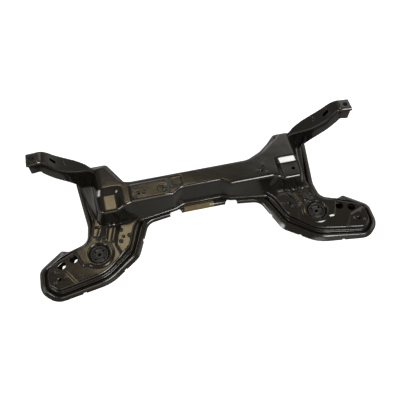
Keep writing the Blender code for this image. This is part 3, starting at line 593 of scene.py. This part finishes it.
for x, y, _ in ACCESS_HOLES:
    bpy.ops.mesh.primitive_cylinder_add(
        vertices=48, radius=LEFT_OPENING_RADIUS, depth=0.05,
        location=(LEFT_OPENING_SHIFT[0] - x, y + LEFT_OPENING_SHIFT[1] + SHIFT, 0.0))
    opening = bpy.context.object
    cut_with(lower, opening)
    drop(opening)
finished(lower, black_paint, "black_paint", "lower_pressing")


# Upper pressing: the hat-shaped beam with a shoulder at each end, drawn from steel sheet and
# spot welded down by its foot. Each shoulder's front corner is a lower shelf, and the left
# of the beam's top has a raised pad for two nuts.

BEAM_TOP = 0.098
TOP_ROUND = 0.008
FOOT = [
    (0.058, 0.0050, 0.020), (0.084, -0.0060, 0.030), (0.190, -0.0215, 0.050), (0.240, -0.0235, 0.050),
    (0.314, -0.0235, 0.018), (0.328, 0.0400, 0.020), (0.332, 0.0590, 0.020), (0.348, 0.1280, 0.025),
]
FOOT_REAR = {
    1: [(0.333, 0.172, 0.025), (0.274, 0.172, 0.025), (0.181, 0.099, 0.060), (0.147, 0.084, 0.050)],
    -1: [(0.331, 0.170, 0.025), (0.262, 0.169, 0.025), (0.223, 0.091, 0.040), (0.195, 0.084, 0.050)],
}
TOP_EDGE = {
    1: [
        (0.058, 0.0150, 0.012), (0.082, -0.0035, 0.012), (0.212, -0.0040, 0.015), (0.238, -0.0145, 0.015),
        (0.304, -0.0145, 0.016), (0.3095, 0.0400, 0.020), (0.3110, 0.0590, 0.020), (0.3210, 0.1250, 0.018),
        (0.310, 0.1460, 0.016), (0.274, 0.1440, 0.014), (0.205, 0.0910, 0.070), (0.150, 0.0720, 0.040),
    ],
    -1: [
        (0.058, 0.0150, 0.012), (0.088, -0.0030, 0.012), (0.205, -0.0030, 0.015), (0.242, -0.0140, 0.015),
        (0.303, -0.0145, 0.019), (0.3075, 0.0400, 0.020), (0.3070, 0.0590, 0.020), (0.3125, 0.1250, 0.018),
        (0.302, 0.1390, 0.024), (0.265, 0.1425, 0.022), (0.2245, 0.0765, 0.030), (0.200, 0.0710, 0.040),
    ],
}
FOOT_ROLL = [(-0.0080, 0.0), (-0.0045, 0.0), (-0.0030, 0.0002), (-0.0012, 0.0010), (0.0, 0.0024)]
FOOT_RISE = 0.0024
LEAN_IN = 0.0003
CLEARANCE = 0.0003

# A shelf is where its side slope starts and how long that is, then the same for its rear
# slope. A side fall is where it starts, its run, its drop and its share lost on the shelf.
SHELF_DROP = 0.010
SHELF_TILT = 0.036
SHELF = {1: (0.2290, 0.018, 0.0590, 0.0210), -1: (0.2255, 0.024, 0.0635, 0.0225)}
SIDE_FALL = {1: (0.288, 0.024, 0.009, 0.5), -1: (0.280, 0.030, 0.017, 0.4)}
PAD_ENDS = (-0.208, -0.094)
PAD_SIDES = (-0.0005, 0.058)
PAD_RISE = 0.002
PAD_RUN = 0.005
DIP_ENDS = (-0.090, -0.052)
DIP_SIDES = (0.022, 0.062)
DIP_DROP = 0.0012
DIP_RUN = 0.006
DISH_DROP = 0.0008
DISH_RADII = (0.0075, 0.0145)
DISH_RUN = 0.002
BEAM_HOLES = [(-0.184, 0.024, 0.006), (-0.113, 0.027, 0.006), (0.1836, 0.0238, 0.0056), (0.280, 0.0165, 0.005)]
MARK_HEIGHT = 0.0009
MARK_RADIUS = 0.0030
MARK_WIDTH = 0.0012
MARK_END = 0.008
MARK_DOTS = (0.0008, 0.0017, 0.0026, 0.0035, 0.0046)
BEAM_MARKS = [
    (-0.188, 0.040), (-0.166, 0.021), (-0.194, 0.009),
    (0.189, 0.0425), (0.1675, 0.0235), (0.1945, 0.0130),
]


def mark(x, y, marks):
    """Small ring-shaped nubs where the nuts were projection welded."""
    total = 0.0
    for at_x, at_y in marks:
        away = math.hypot(x - at_x, y - at_y)
        if away < MARK_END:
            total += MARK_HEIGHT * math.exp(-(((away - MARK_RADIUS) / MARK_WIDTH) ** 2))
    return total


def ramp(value, ease=0.16):
    """An even slope from 0 to 1 with eased ends."""
    value = min(max(value, 0.0), 1.0)
    if value < ease:
        return value * value / (2.0 * ease * (1.0 - ease))
    if value > 1.0 - ease:
        return 1.0 - (1.0 - value) ** 2 / (2.0 * ease * (1.0 - ease))
    return (value - ease / 2.0) / (1.0 - ease)


def beam_top(x, y):
    crease_x, side_run, crease_y, rear_run = SHELF[1 if x > 0.0 else -1]
    across = ramp((abs(x) - crease_x) / side_run)
    along = ramp((crease_y - y) / rear_run)
    lift = -(SHELF_DROP + (SHELF_TILT * (0.040 - y) if x < 0.0 else 0.0)) * across * along
    start, run, drop_height, lost = SIDE_FALL[1 if x > 0.0 else -1]
    lift -= drop_height * min(max((abs(x) - start) / run, 0.0), 1.0) ** 2 * (1.0 - lost * across * along)
    pad = smooth((x - PAD_ENDS[0]) / PAD_RUN) * smooth((PAD_ENDS[1] - x) / PAD_RUN)
    lift += PAD_RISE * pad * smooth((PAD_SIDES[1] - y) / PAD_RUN) * smooth((y - PAD_SIDES[0]) / PAD_RUN)
    dip = smooth((x - DIP_ENDS[0]) / PAD_RUN) * smooth((DIP_ENDS[1] - x) / PAD_RUN)
    lift -= DIP_DROP * dip * smooth((y - DIP_SIDES[0]) / DIP_RUN) * smooth((DIP_SIDES[1] - y) / DIP_RUN)
    away = math.hypot(x - BEAM_HOLES[1][0], y - BEAM_HOLES[1][1])
    dish = smooth((DISH_RADII[1] - away) / DISH_RUN) * smooth((away - DISH_RADII[0]) / DISH_RUN)
    lift -= DISH_DROP * dish
    return lift + mark(x, y, BEAM_MARKS)


def top_under(below):
    return lambda x, y: BEAM_TOP + beam_top(x, y) - below


foot = both_sides(FOOT + FOOT_REAR[1], FOOT + FOOT_REAR[-1])
edge = both_sides(TOP_EDGE[1], TOP_EDGE[-1])
seat = FLANGE_TOP + CLEARANCE + SHEET
rings = [(inset(foot, inwards), seat + rise) for inwards, rise in FOOT_ROLL]
rings.append((between(inset(foot, LEAN_IN), edge, 0.10), seat + 0.0085))
for share in (0.4, 0.7):
    rings.append((between(inset(foot, LEAN_IN), edge, share), lambda x, y, k=share: (
        seat + FOOT_RISE + (BEAM_TOP - TOP_ROUND - seat - FOOT_RISE + beam_top(x, y)) * k)))
for angle in (0, 15, 30, 45, 60, 75, 90):
    bend = math.radians(angle)
    rings.append((
        inset(edge, TOP_ROUND * (1.0 - math.cos(bend))),
        top_under(TOP_ROUND * (1.0 - math.sin(bend)))))
spots = [(x, y, MARK_DOTS) for x, y in BEAM_MARKS]
hat = drawn_sheet("upper_pressing_sheet", rings, 0.0034, BEAM_HOLES, spots)
moved_back(hat)
thickened(hat)
finished(hat, black_paint, "black_paint", "upper_pressing")


# Arm plates: raised plates on the two lobes, each with a cup for a rubber bush, a bead
# towards the beam, a pad round the inner nut and a slightly raised tip. They are spot
# welded to the lower pressing, with a weld bead where the beam's foot meets them.

ARM_TOP = 0.036
ARM_RIM = [
    (0.160, 0.0100, 0.004), (0.206, -0.0440, 0.060), (0.228, -0.1080, 0.040), (0.304, -0.1730, 0.100),
    (0.440, -0.1985, 0.030), (0.467, -0.1740, 0.030), (0.468, -0.1170, 0.036), (0.400, -0.0865, 0.060),
    (0.345, -0.0670, 0.040), (0.3255, 0.0120, 0.004),
]
SIDE_PAD = [
    (0.150, 0.0050), (0.170, -0.1100), (0.250, -0.1500), (0.2590, -0.1285),
    (0.2715, -0.0920), (0.2645, -0.0625), (0.2450, -0.0170), (0.2353, 0.0050),
]
CUP_STEP = [(0.300, -0.0600), (0.3300, -0.1375), (0.3660, -0.1370), (0.3870, -0.0880), (0.372, -0.0500)]
CUP_RADIUS = 0.0245
CUP_DEPTH = 0.009
BUSH_PAD_RISE = 0.003
DISC_RADIUS = 0.0437
CUP_EDGE_RADIUS = 0.0318

# A valley is its start, end, depth and half width. A side of the raised tip is a point
# on it and the way inwards.
SIDE_PAD_RISE = 0.003
BEAD_RISE = 0.003
BEAD_HALF = 0.0068
ARM_WELD = -0.0262
ARM_WELD_HEIGHT = 0.0011
ARM_WELD_WIDTH = 0.0017
ARM_WELD_START = 0.215
TIP_RISE = 0.0012
VALLEYS = [
    (Vector((0.262, -0.024)), Vector((0.277, -0.074)), 0.0016, 0.0065),
    (Vector((0.305, -0.028)), Vector((0.317, -0.060)), 0.0014, 0.0070),
]
TIP_SIDES = [(0.4027, -0.1607, 0.822, -0.570), (0.430, -0.1388, 0.329, -0.944)]
BEAD_START = Vector((0.2850, -0.0200))
BEAD_END = Vector((0.2970, -0.0670))
ARM_MARKS = [
    (0.2500, -0.0505), (0.2290, -0.0716), (0.2547, -0.0850),
    (0.4434, -0.1418), (0.4191, -0.1606), (0.4470, -0.1714),
]


def depth_inside(points, x, y):
    """How far a point lies inside a convex outline, negative outside."""
    least = 1.0
    for i, here in enumerate(points):
        there = points[(i + 1) % len(points)]
        along = Vector(there) - Vector(here)
        along.normalize()
        least = min(least, (x - here[0]) * -along.y + (y - here[1]) * along.x)
    return least


def arm_form(x, y):
    """Height of the stampings in an arm plate, for the +X side."""
    here = Vector((x, y))
    away = math.hypot(x - BUSH_CENTRE[0], y - BUSH_CENTRE[1])
    disc = 0.6 * smooth((DISC_RADIUS - away) / 0.0050) + 0.4 * smooth((DISC_RADIUS - away) / 0.0150)
    step = smooth((depth_inside(CUP_STEP, x, y) + 0.0024) / 0.0048)
    lift = BUSH_PAD_RISE * max(disc, step)
    lift -= CUP_DEPTH * smooth((CUP_EDGE_RADIUS - away) / 0.0070)
    pad = depth_inside(SIDE_PAD, x, y)
    lift += SIDE_PAD_RISE * smooth((pad + 0.0008) / 0.0042)
    line = BEAD_END - BEAD_START
    share = min(max((here - BEAD_START).dot(line) / line.length_squared, 0.0), 1.0)
    off = (here - BEAD_START - line * share).length
    lift += BEAD_RISE * smooth((BEAD_HALF - off) / 0.0060)
    tip = min((x - at_x) * aim_x + (y - at_y) * aim_y for at_x, at_y, aim_x, aim_y in TIP_SIDES)
    lift += TIP_RISE * smooth((tip + 0.003) / 0.006)
    for start, end, depth, width in VALLEYS:
        middle = start.lerp(end, min(max((start.y - y) / (start.y - end.y), 0.0), 1.0))
        lift -= depth * math.exp(-(((here - middle).length / width) ** 2))
    weld = math.exp(-(((y - ARM_WELD) / ARM_WELD_WIDTH) ** 2)) * smooth((x - ARM_WELD_START) / 0.01)
    lift += ARM_WELD_HEIGHT * weld
    return lift + mark(x, y, ARM_MARKS)


def arm_under(below, share):
    return lambda x, y: ARM_TOP + arm_form(abs(x), y) * share - below


ARM_ROLL = [(0.0, 0.0), (0.0026, 0.0), (0.0034, 0.0003), (0.0041, 0.0012), (0.0045, 0.0026), (0.0049, 0.0050)]
ARM_EDGE = 0.0051
ARM_ROUND = 0.0040
arm_rings = [(inset(ARM_RIM, inwards), seat + rise) for inwards, rise in ARM_ROLL]
for angle in (16, 32, 48, 64, 78, 90):
    bend = math.radians(angle)
    arm_rings.append((
        inset(ARM_RIM, ARM_EDGE + ARM_ROUND * (1.0 - math.cos(bend))),
        arm_under(ARM_ROUND * (1.0 - math.sin(bend)), math.sin(bend))))
arm_holes = ACCESS_HOLES + [ARM_BOLT, ARM_PILOT, (*BUSH_CENTRE, CUP_RADIUS)]
arm_spots = [(x, y, MARK_DOTS) for x, y in ARM_MARKS]
for name, side in (("right", 1), ("left", -1)):
    plate = drawn_sheet(
        name + "_arm_plate_sheet", arm_rings, 0.0026, arm_holes, arm_spots, [(0.200, 0.330, ARM_WELD)])
    if side < 0:
        bpy.ops.object.mode_set(mode="EDIT")
        bpy.ops.mesh.select_all(action="SELECT")
        bpy.ops.transform.resize(value=(-1.0, 1.0, 1.0), center_override=(0.0, 0.0, 0.0))
        bpy.ops.mesh.flip_normals()
        bpy.ops.object.mode_set(mode="OBJECT")
    moved_back(plate)
    thickened(plate)
    finished(plate, black_paint, "black_paint", name + "_arm_plate")


# Horns: each is an upside-down channel of pressed sheet, welded onto the shoulder, that
# climbs to the body bolt. A second, shallower channel welded inside closes it from below.

HORN_TOP = 0.231
HORN_DEPTH = 0.038
HORN_ROOT = 0.292
HORN_LEVEL = 0.426

# Stations from the shoulder to the horn's end: crest and belly as (share of the climb,
# height), then the middle's y and the width
HORN_STATIONS = [
    ((0.000, 0.084), (0.224, 0.016), 0.1340, 0.018), ((0.097, 0.101), (0.410, 0.026), 0.1335, 0.019),
    ((0.194, 0.115), (0.433, 0.046), 0.1330, 0.030), ((0.373, 0.136), (0.480, 0.079), 0.1285, 0.045),
    ((0.545, 0.159), (0.597, 0.112), 0.1222, 0.0515), ((0.724, 0.188), (0.776, 0.145), 0.1160, 0.052),
    ((0.821, 0.211), (0.896, 0.166), 0.1125, 0.047), ((0.910, 0.2265), (0.970, 0.181), 0.1095, 0.042),
    ((1.000, 0.231), (1.007, 0.193), 0.1075, 0.041), ((1.104, 0.231), (1.112, 0.193), 0.1060, 0.041),
    ((1.213, 0.231), (1.220, 0.193), 0.1055, 0.041),
]
HORN_BOLT = (0.440, 0.1060, 0.0070)
HORN_TIP = 0.4545
HORN_WALL_END = 0.4500
HORN_ROUND = 0.006
HORN_NEST = 0.0010
HORN_LAP = 0.012
HORN_LIP = 0.007
TOP_END = 10.0
BOTTOM_END = 9.6
SLOT_PLACE = 5.25
SLOT_SIZE = (0.024, 0.010, 0.030)
SLOT_ROUND = 0.0048
DIMPLE_PLACE = 4.05
DIMPLE_RADIUS = 0.0170
DIMPLE_LIFT = 0.0158
DIMPLE_SHIFT = 0.006


def station(place):
    """Crest, belly, middle and width of a horn at a place along its stations."""
    rows = []
    for crest, belly, middle, width in HORN_STATIONS:
        climb = HORN_LEVEL - HORN_ROOT
        rows.append((
            HORN_ROOT + crest[0] * climb, crest[1], HORN_ROOT + belly[0] * climb, belly[1], middle, width))
    i = min(int(place), len(rows) - 2)
    t = place - i
    picked = [rows[max(i - 1, 0)], rows[i], rows[i + 1], rows[min(i + 2, len(rows) - 1)]]
    values = []
    for p, q, r, s in zip(*picked):
        bend = (2 * p - 5 * q + 4 * r - s) * t ** 2 + (3 * q - p - 3 * r + s) * t ** 3
        values.append(0.5 * (2 * q + (r - p) * t + bend))
    values[1] = min(values[1], HORN_TOP)
    return Vector(values[:2]), Vector(values[2:4]), values[4], values[5]


def drawn_channel(name, sections):
    """Pull a strip from section to section."""
    bpy.ops.object.select_all(action="DESELECT")
    bpy.ops.mesh.primitive_circle_add(vertices=len(sections[0]) + 1, radius=1.0)
    obj = bpy.context.object
    obj.name = name
    bpy.ops.object.mode_set(mode="EDIT")
    shape = bmesh.from_edit_mesh(obj.data)
    shape.verts.ensure_lookup_table()
    spare = shape.verts[len(sections[0])]
    for vert, place in zip(shape.verts, sections[0]):
        vert.co = place
    shape.verts.remove(spare)
    bmesh.update_edit_mesh(obj.data)
    bpy.ops.mesh.select_all(action="SELECT")
    for before, section in zip(sections, sections[1:]):
        bpy.ops.mesh.extrude_edges_move()
        shape = bmesh.from_edit_mesh(obj.data)
        fresh = {tuple(round(v, 6) for v in vert.co): vert for vert in shape.verts if vert.select}
        found = [fresh[tuple(round(v, 6) for v in Vector(place))] for place in before]
        for vert, place in zip(found, section):
            vert.co = place
        bmesh.update_edit_mesh(obj.data)
    bpy.ops.object.mode_set(mode="OBJECT")
    return obj


def turned_corner(radius, corner, first, second, count=5):
    """Points of a rounded corner of a section, as (down, across)."""
    points = []
    for i in range(count + 1):
        bend = math.pi / 2 * i / count
        points.append((
            corner[0] + radius * (first[0] * (1 - math.sin(bend)) + second[0] * (1 - math.cos(bend))),
            corner[1] + radius * (first[1] * (1 - math.sin(bend)) + second[1] * (1 - math.cos(bend)))))
    return points


def horn_places(end):
    return [end * i / 72 for i in range(73)]


def horn_sections(side, profile_of, places):
    sections = []
    for place in places:
        crest, belly, middle, width = station(place)
        fall = (belly - crest).normalized()
        depth = (belly - crest).length
        section = []
        for down, across in profile_of(depth, width / 2):
            spot = crest + fall * down
            section.append(Vector((side * spot.x, middle + across + SHIFT, spot.y)))
        sections.append(section)
    return sections


def top_profile(depth, half):
    r = HORN_ROUND
    points = [(depth * k, -half) for k in (1.0, 0.75, 0.5)]
    points += turned_corner(r, (0.0, -half), (1.0, 0.0), (0.0, 1.0))
    points += [(0.0, -(half - r) * 0.5), (0.0, 0.0), (0.0, (half - r) * 0.5)]
    points += list(reversed(turned_corner(r, (0.0, half), (1.0, 0.0), (0.0, -1.0))))
    points += [(depth * k, half) for k in (0.5, 0.75, 1.0)]
    return points


def bottom_profile(depth, half):
    r = HORN_ROUND
    half -= SHEET + HORN_NEST
    r = min(r, half * 0.6)
    lap = min(HORN_LAP, depth * 0.6)
    points = [(depth - lap, -half)]
    points += turned_corner(r, (depth, -half), (-1.0, 0.0), (0.0, 1.0))
    points += [(depth, 0.0)]
    points += list(reversed(turned_corner(r, (depth, half), (-1.0, 0.0), (0.0, -1.0))))
    points += [(depth - lap, half)]
    return points


for name, side in (("left", -1), ("right", 1)):
    top = drawn_channel(
        name + "_horn_top_sheet", horn_sections(side, top_profile, horn_places(TOP_END)))
    thickened(top, offset=1.0 if side > 0 else -1.0)
    bottom = drawn_channel(
        name + "_horn_bottom_sheet", horn_sections(side, bottom_profile, horn_places(BOTTOM_END)))
    thickened(bottom, offset=-1.0 if side > 0 else 1.0)
    bpy.ops.mesh.primitive_cylinder_add(
        vertices=40, radius=HORN_BOLT[2], depth=0.12,
        location=(side * HORN_BOLT[0], HORN_BOLT[1] + SHIFT, 0.21))
    bolt = bpy.context.object
    crest, _, middle, _ = station(SLOT_PLACE)
    before = station(SLOT_PLACE - 0.35)[0]
    after = station(SLOT_PLACE + 0.35)[0]
    climb = math.atan2(after.y - before.y, after.x - before.x)
    bpy.ops.mesh.primitive_cube_add(size=1.0, location=(side * crest.x, middle + SHIFT, crest.y))
    slot = bpy.context.object
    slot.scale = SLOT_SIZE
    slot.rotation_euler = (0.0, -side * climb, 0.0)
    bpy.ops.object.transform_apply(location=False, rotation=False, scale=True)
    bevel = slot.modifiers.new("round", "BEVEL")
    bevel.width = SLOT_ROUND
    bevel.segments = 6
    bevel.affect = "EDGES"
    apply_all(slot)
    crest, _, middle, _ = station(DIMPLE_PLACE)
    along = (station(DIMPLE_PLACE + 0.25)[0] - station(DIMPLE_PLACE - 0.25)[0]).normalized()
    above = crest + Vector((-along.y, along.x)) * DIMPLE_LIFT
    bpy.ops.mesh.primitive_uv_sphere_add(
        segments=48, ring_count=24, radius=DIMPLE_RADIUS,
        location=(side * above.x, middle + DIMPLE_SHIFT + SHIFT, above.y))
    dimple = bpy.context.object
    reach = HORN_TIP - HORN_WALL_END
    bpy.ops.mesh.primitive_cube_add(
        size=1.0,
        location=(side * HORN_TIP, HORN_STATIONS[-1][2] + SHIFT, HORN_TOP - HORN_LIP - HORN_DEPTH / 2))
    notch = bpy.context.object
    notch.scale = (2 * reach, 0.08, HORN_DEPTH)
    for sheet in (top, bottom):
        cut_with(sheet, bolt)
    cut_with(top, slot)
    cut_with(top, dimple)
    cut_with(top, notch)
    drop(bolt, slot, dimple, notch)
    finished(top, black_paint, "black_paint", name + "_horn_top")
    finished(bottom, black_paint, "black_paint", name + "_horn_bottom")


# Horn spacers: short tubes of turned steel between the top and the bottom of each horn's
# end, so that the body bolt doesn't crush it. Their steel, and that of the nuts and the
# bushes, is thinly painted over: dark grey with a duller shine.

material, shader, wire = new_material("thinly_painted_steel")
place = wire.node("ShaderNodeTexCoord", output="Object")
drift = wire.node("ShaderNodeTexNoise", inputs={"Vector": place, "Scale": 90.0, "Detail": 3.0})
fine = wire.node("ShaderNodeTexNoise", inputs={"Vector": place, "Scale": 700.0, "Detail": 2.0})
tone = wire.node("ShaderNodeMix", {"data_type": "RGBA"}, {
    "Factor": drift, "A": (0.008, 0.007, 0.006, 1.0), "B": (0.020, 0.018, 0.015, 1.0)}, output="Result")
relief = wire.node("ShaderNodeBump", inputs={
    "Strength": 0.3, "Distance": 0.0003, "Height": fine}, output="Normal")
wire.tree.links.new(tone.socket, shader.inputs["Base Color"])
wire.tree.links.new((0.32 + drift * 0.16).socket, shader.inputs["Roughness"])
wire.tree.links.new(relief.socket, shader.inputs["Normal"])
shader.inputs["Specular IOR Level"].default_value = 0.3
painted_steel = material


def spun(name, profile, x, y, steps=56):
    """A turned ring: a closed section of (radius, height) points spun round a post."""
    bpy.ops.object.select_all(action="DESELECT")
    bpy.ops.mesh.primitive_circle_add(vertices=len(profile), radius=1.0)
    obj = bpy.context.object
    obj.name = name
    bpy.ops.object.mode_set(mode="EDIT")
    shape = bmesh.from_edit_mesh(obj.data)
    shape.verts.ensure_lookup_table()
    for vert, (radius, level) in zip(shape.verts, profile):
        vert.co = (x + radius, y + SHIFT, level)
    bmesh.update_edit_mesh(obj.data)
    bpy.ops.mesh.select_all(action="SELECT")
    bpy.ops.mesh.spin(steps=steps, angle=math.tau, center=(x, y + SHIFT, 0.0), axis=(0.0, 0.0, 1.0))
    bpy.ops.mesh.select_all(action="SELECT")
    bpy.ops.mesh.remove_doubles(threshold=0.00002)
    bpy.ops.mesh.normals_make_consistent(inside=False)
    bpy.ops.object.mode_set(mode="OBJECT")
    return obj


def eased(obj, width, segments=2):
    bevel = obj.modifiers.new("eased", "BEVEL")
    bevel.width = width
    bevel.segments = segments
    bevel.limit_method = "ANGLE"
    bevel.angle_limit = math.radians(40)
    apply_all(obj)


SPACER_WALL = 0.0025
for name, side in (("left", -1), ("right", 1)):
    outer = HORN_BOLT[2] + SPACER_WALL
    high = HORN_TOP - SHEET - CLEARANCE
    low = HORN_TOP - HORN_DEPTH + SHEET + CLEARANCE
    sleeve = spun(
        name + "_horn_spacer", [(outer, high), (outer, low), (HORN_BOLT[2], low), (HORN_BOLT[2], high)],
        side * HORN_BOLT[0], HORN_BOLT[1])
    eased(sleeve, 0.0004)
    finished(sleeve, painted_steel, "painted_sleeve", name + "_horn_sleeve")


# Rubber bushes, pressed into the cups: a steel shell, four-lobed rubber with moulding
# rings, and a steel sleeve for the bolt.

material, shader, wire = new_material("bush_rubber")
place = wire.node("ShaderNodeTexCoord", output="Object")
bloom = wire.node("ShaderNodeTexNoise", inputs={"Vector": place, "Scale": 150.0, "Detail": 4.0})
grain = wire.node("ShaderNodeTexNoise", inputs={"Vector": place, "Scale": 1500.0, "Detail": 2.0})
tone = wire.node("ShaderNodeMix", {"data_type": "RGBA"}, {
    "Factor": bloom, "A": (0.004, 0.004, 0.004, 1.0), "B": (0.012, 0.011, 0.010, 1.0)}, output="Result")
relief = wire.node("ShaderNodeBump", inputs={
    "Strength": 0.5, "Distance": 0.0002, "Height": grain}, output="Normal")
wire.tree.links.new(tone.socket, shader.inputs["Base Color"])
wire.tree.links.new((0.42 + bloom * 0.25).socket, shader.inputs["Roughness"])
wire.tree.links.new(relief.socket, shader.inputs["Normal"])
shader.inputs["Specular IOR Level"].default_value = 0.25
rubber_black = material

BUSH_WALL = 0.002
BUSH_BORE = 0.0062
BUSH_FOOT = 0.0028
RUBBER_FOOT = 0.0065
MOULD_RINGS = [
    (0.0112, 0.0000), (0.0124, -0.0022), (0.0140, -0.0026), (0.0156, -0.0012),
    (0.0172, 0.0000), (0.0188, -0.0004), (0.0202, -0.0018),
]
VOIDS = 4
VOID_RADIUS = 0.0030
VOID_CIRCLE = 0.0160
cup_floor = ARM_TOP + BUSH_PAD_RISE - CUP_DEPTH
for name, side in (("left", -1), ("right", 1)):
    x, y = side * BUSH_CENTRE[0], BUSH_CENTRE[1]
    outer = CUP_RADIUS - CLEARANCE
    inner = outer - BUSH_WALL
    high = cup_floor + 0.0030
    shell = spun(
        name + "_bush_shell_ring",
        [(outer, high), (outer, BUSH_FOOT), (inner, BUSH_FOOT), (inner, high)], x, y, 72)
    eased(shell, 0.0006, 3)
    finished(shell, painted_steel, "bush_steel", name + "_bush_shell")
    edge_out = inner - CLEARANCE
    edge_in = SLEEVE_RADIUS + CLEARANCE
    crown = cup_floor - 0.0015
    profile = [(edge_out, crown - 0.0020), (edge_out, RUBBER_FOOT), (edge_in, RUBBER_FOOT), (edge_in, crown)]
    profile += [(radius, crown + rise) for radius, rise in MOULD_RINGS]
    rubber = spun(name + "_bush_rubber_ring", profile, x, y, 72)
    for i in range(VOIDS):
        angle = math.tau * (i + 0.5) / VOIDS
        bpy.ops.mesh.primitive_cylinder_add(
            vertices=28, radius=VOID_RADIUS, depth=0.08,
            location=(x + VOID_CIRCLE * math.cos(angle), y + SHIFT + VOID_CIRCLE * math.sin(angle), 0.02))
        void = bpy.context.object
        cut_with(rubber, void)
        drop(void)
    finished(rubber, rubber_black, "bush_rubber", name + "_bush_rubber")
    high = crown + 0.0020
    sleeve = spun(
        name + "_bush_bolt_sleeve",
        [(SLEEVE_RADIUS, high), (SLEEVE_RADIUS, BUSH_FOOT), (BUSH_BORE, BUSH_FOOT), (BUSH_BORE, high)], x, y)
    eased(sleeve, 0.0005)
    finished(sleeve, painted_steel, "bush_steel", name + "_bush_sleeve")


# Weld nuts under the holes: short turned collars, welded from below and seen only as a
# thread in the hole.

# A nut is its node, x, y, the underside that it is welded to, the rise of its pad and its bore
NUT_RADIUS = 0.0100
NUT_DEPTH = 0.0085
NUT_COLLAR = 0.0010
THREAD_TURNS = 7
THREAD_DEPTH = 0.0006
THREAD_HALF = 0.0003
NUTS = [
    ("left_outer_beam_nut", -0.184, 0.024, BEAM_TOP - SHEET, 0.002, 0.006),
    ("left_inner_beam_nut", -0.113, 0.027, BEAM_TOP - SHEET, 0.002, 0.006),
    ("right_beam_nut", 0.183, 0.023, BEAM_TOP - SHEET, 0.0, 0.006),
]
for name, side in (("left", -1), ("right", 1)):
    for kind, (x, y, bore), rise in (("_arm_bolt_nut", ARM_BOLT, 0.0), ("_arm_pilot_nut", ARM_PILOT, 0.003)):
        NUTS.append((name + kind, side * x, y, ARM_TOP - SHEET, rise, bore))
for node, x, y, under, rise, bore in NUTS:
    high = under + rise - CLEARANCE
    flat = high - 0.0015 - rise
    foot_level = flat - NUT_DEPTH
    section = [
        (bore + NUT_COLLAR, high), (bore + NUT_COLLAR, flat), (NUT_RADIUS, flat),
        (NUT_RADIUS, foot_level), (bore, foot_level)]
    for i in range(THREAD_TURNS):
        level = foot_level + (high - foot_level) * (i + 0.5) / THREAD_TURNS
        section += [
            (bore, level - THREAD_HALF), (bore + THREAD_DEPTH, level), (bore, level + THREAD_HALF)]
    section.append((bore, high))
    nut = spun(node + "_turned", section, x, y, 40)
    finished(nut, painted_steel, "nut_steel", node)


# Bulkheads: two plates welded across the inside of the hat. They are hidden, so the CAD
# pieces stay and only take the paint.

for node in ("left_bulkhead", "right_bulkhead"):
    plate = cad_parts[node]
    plate.data.materials.clear()
    plate.data.materials.append(black_paint)
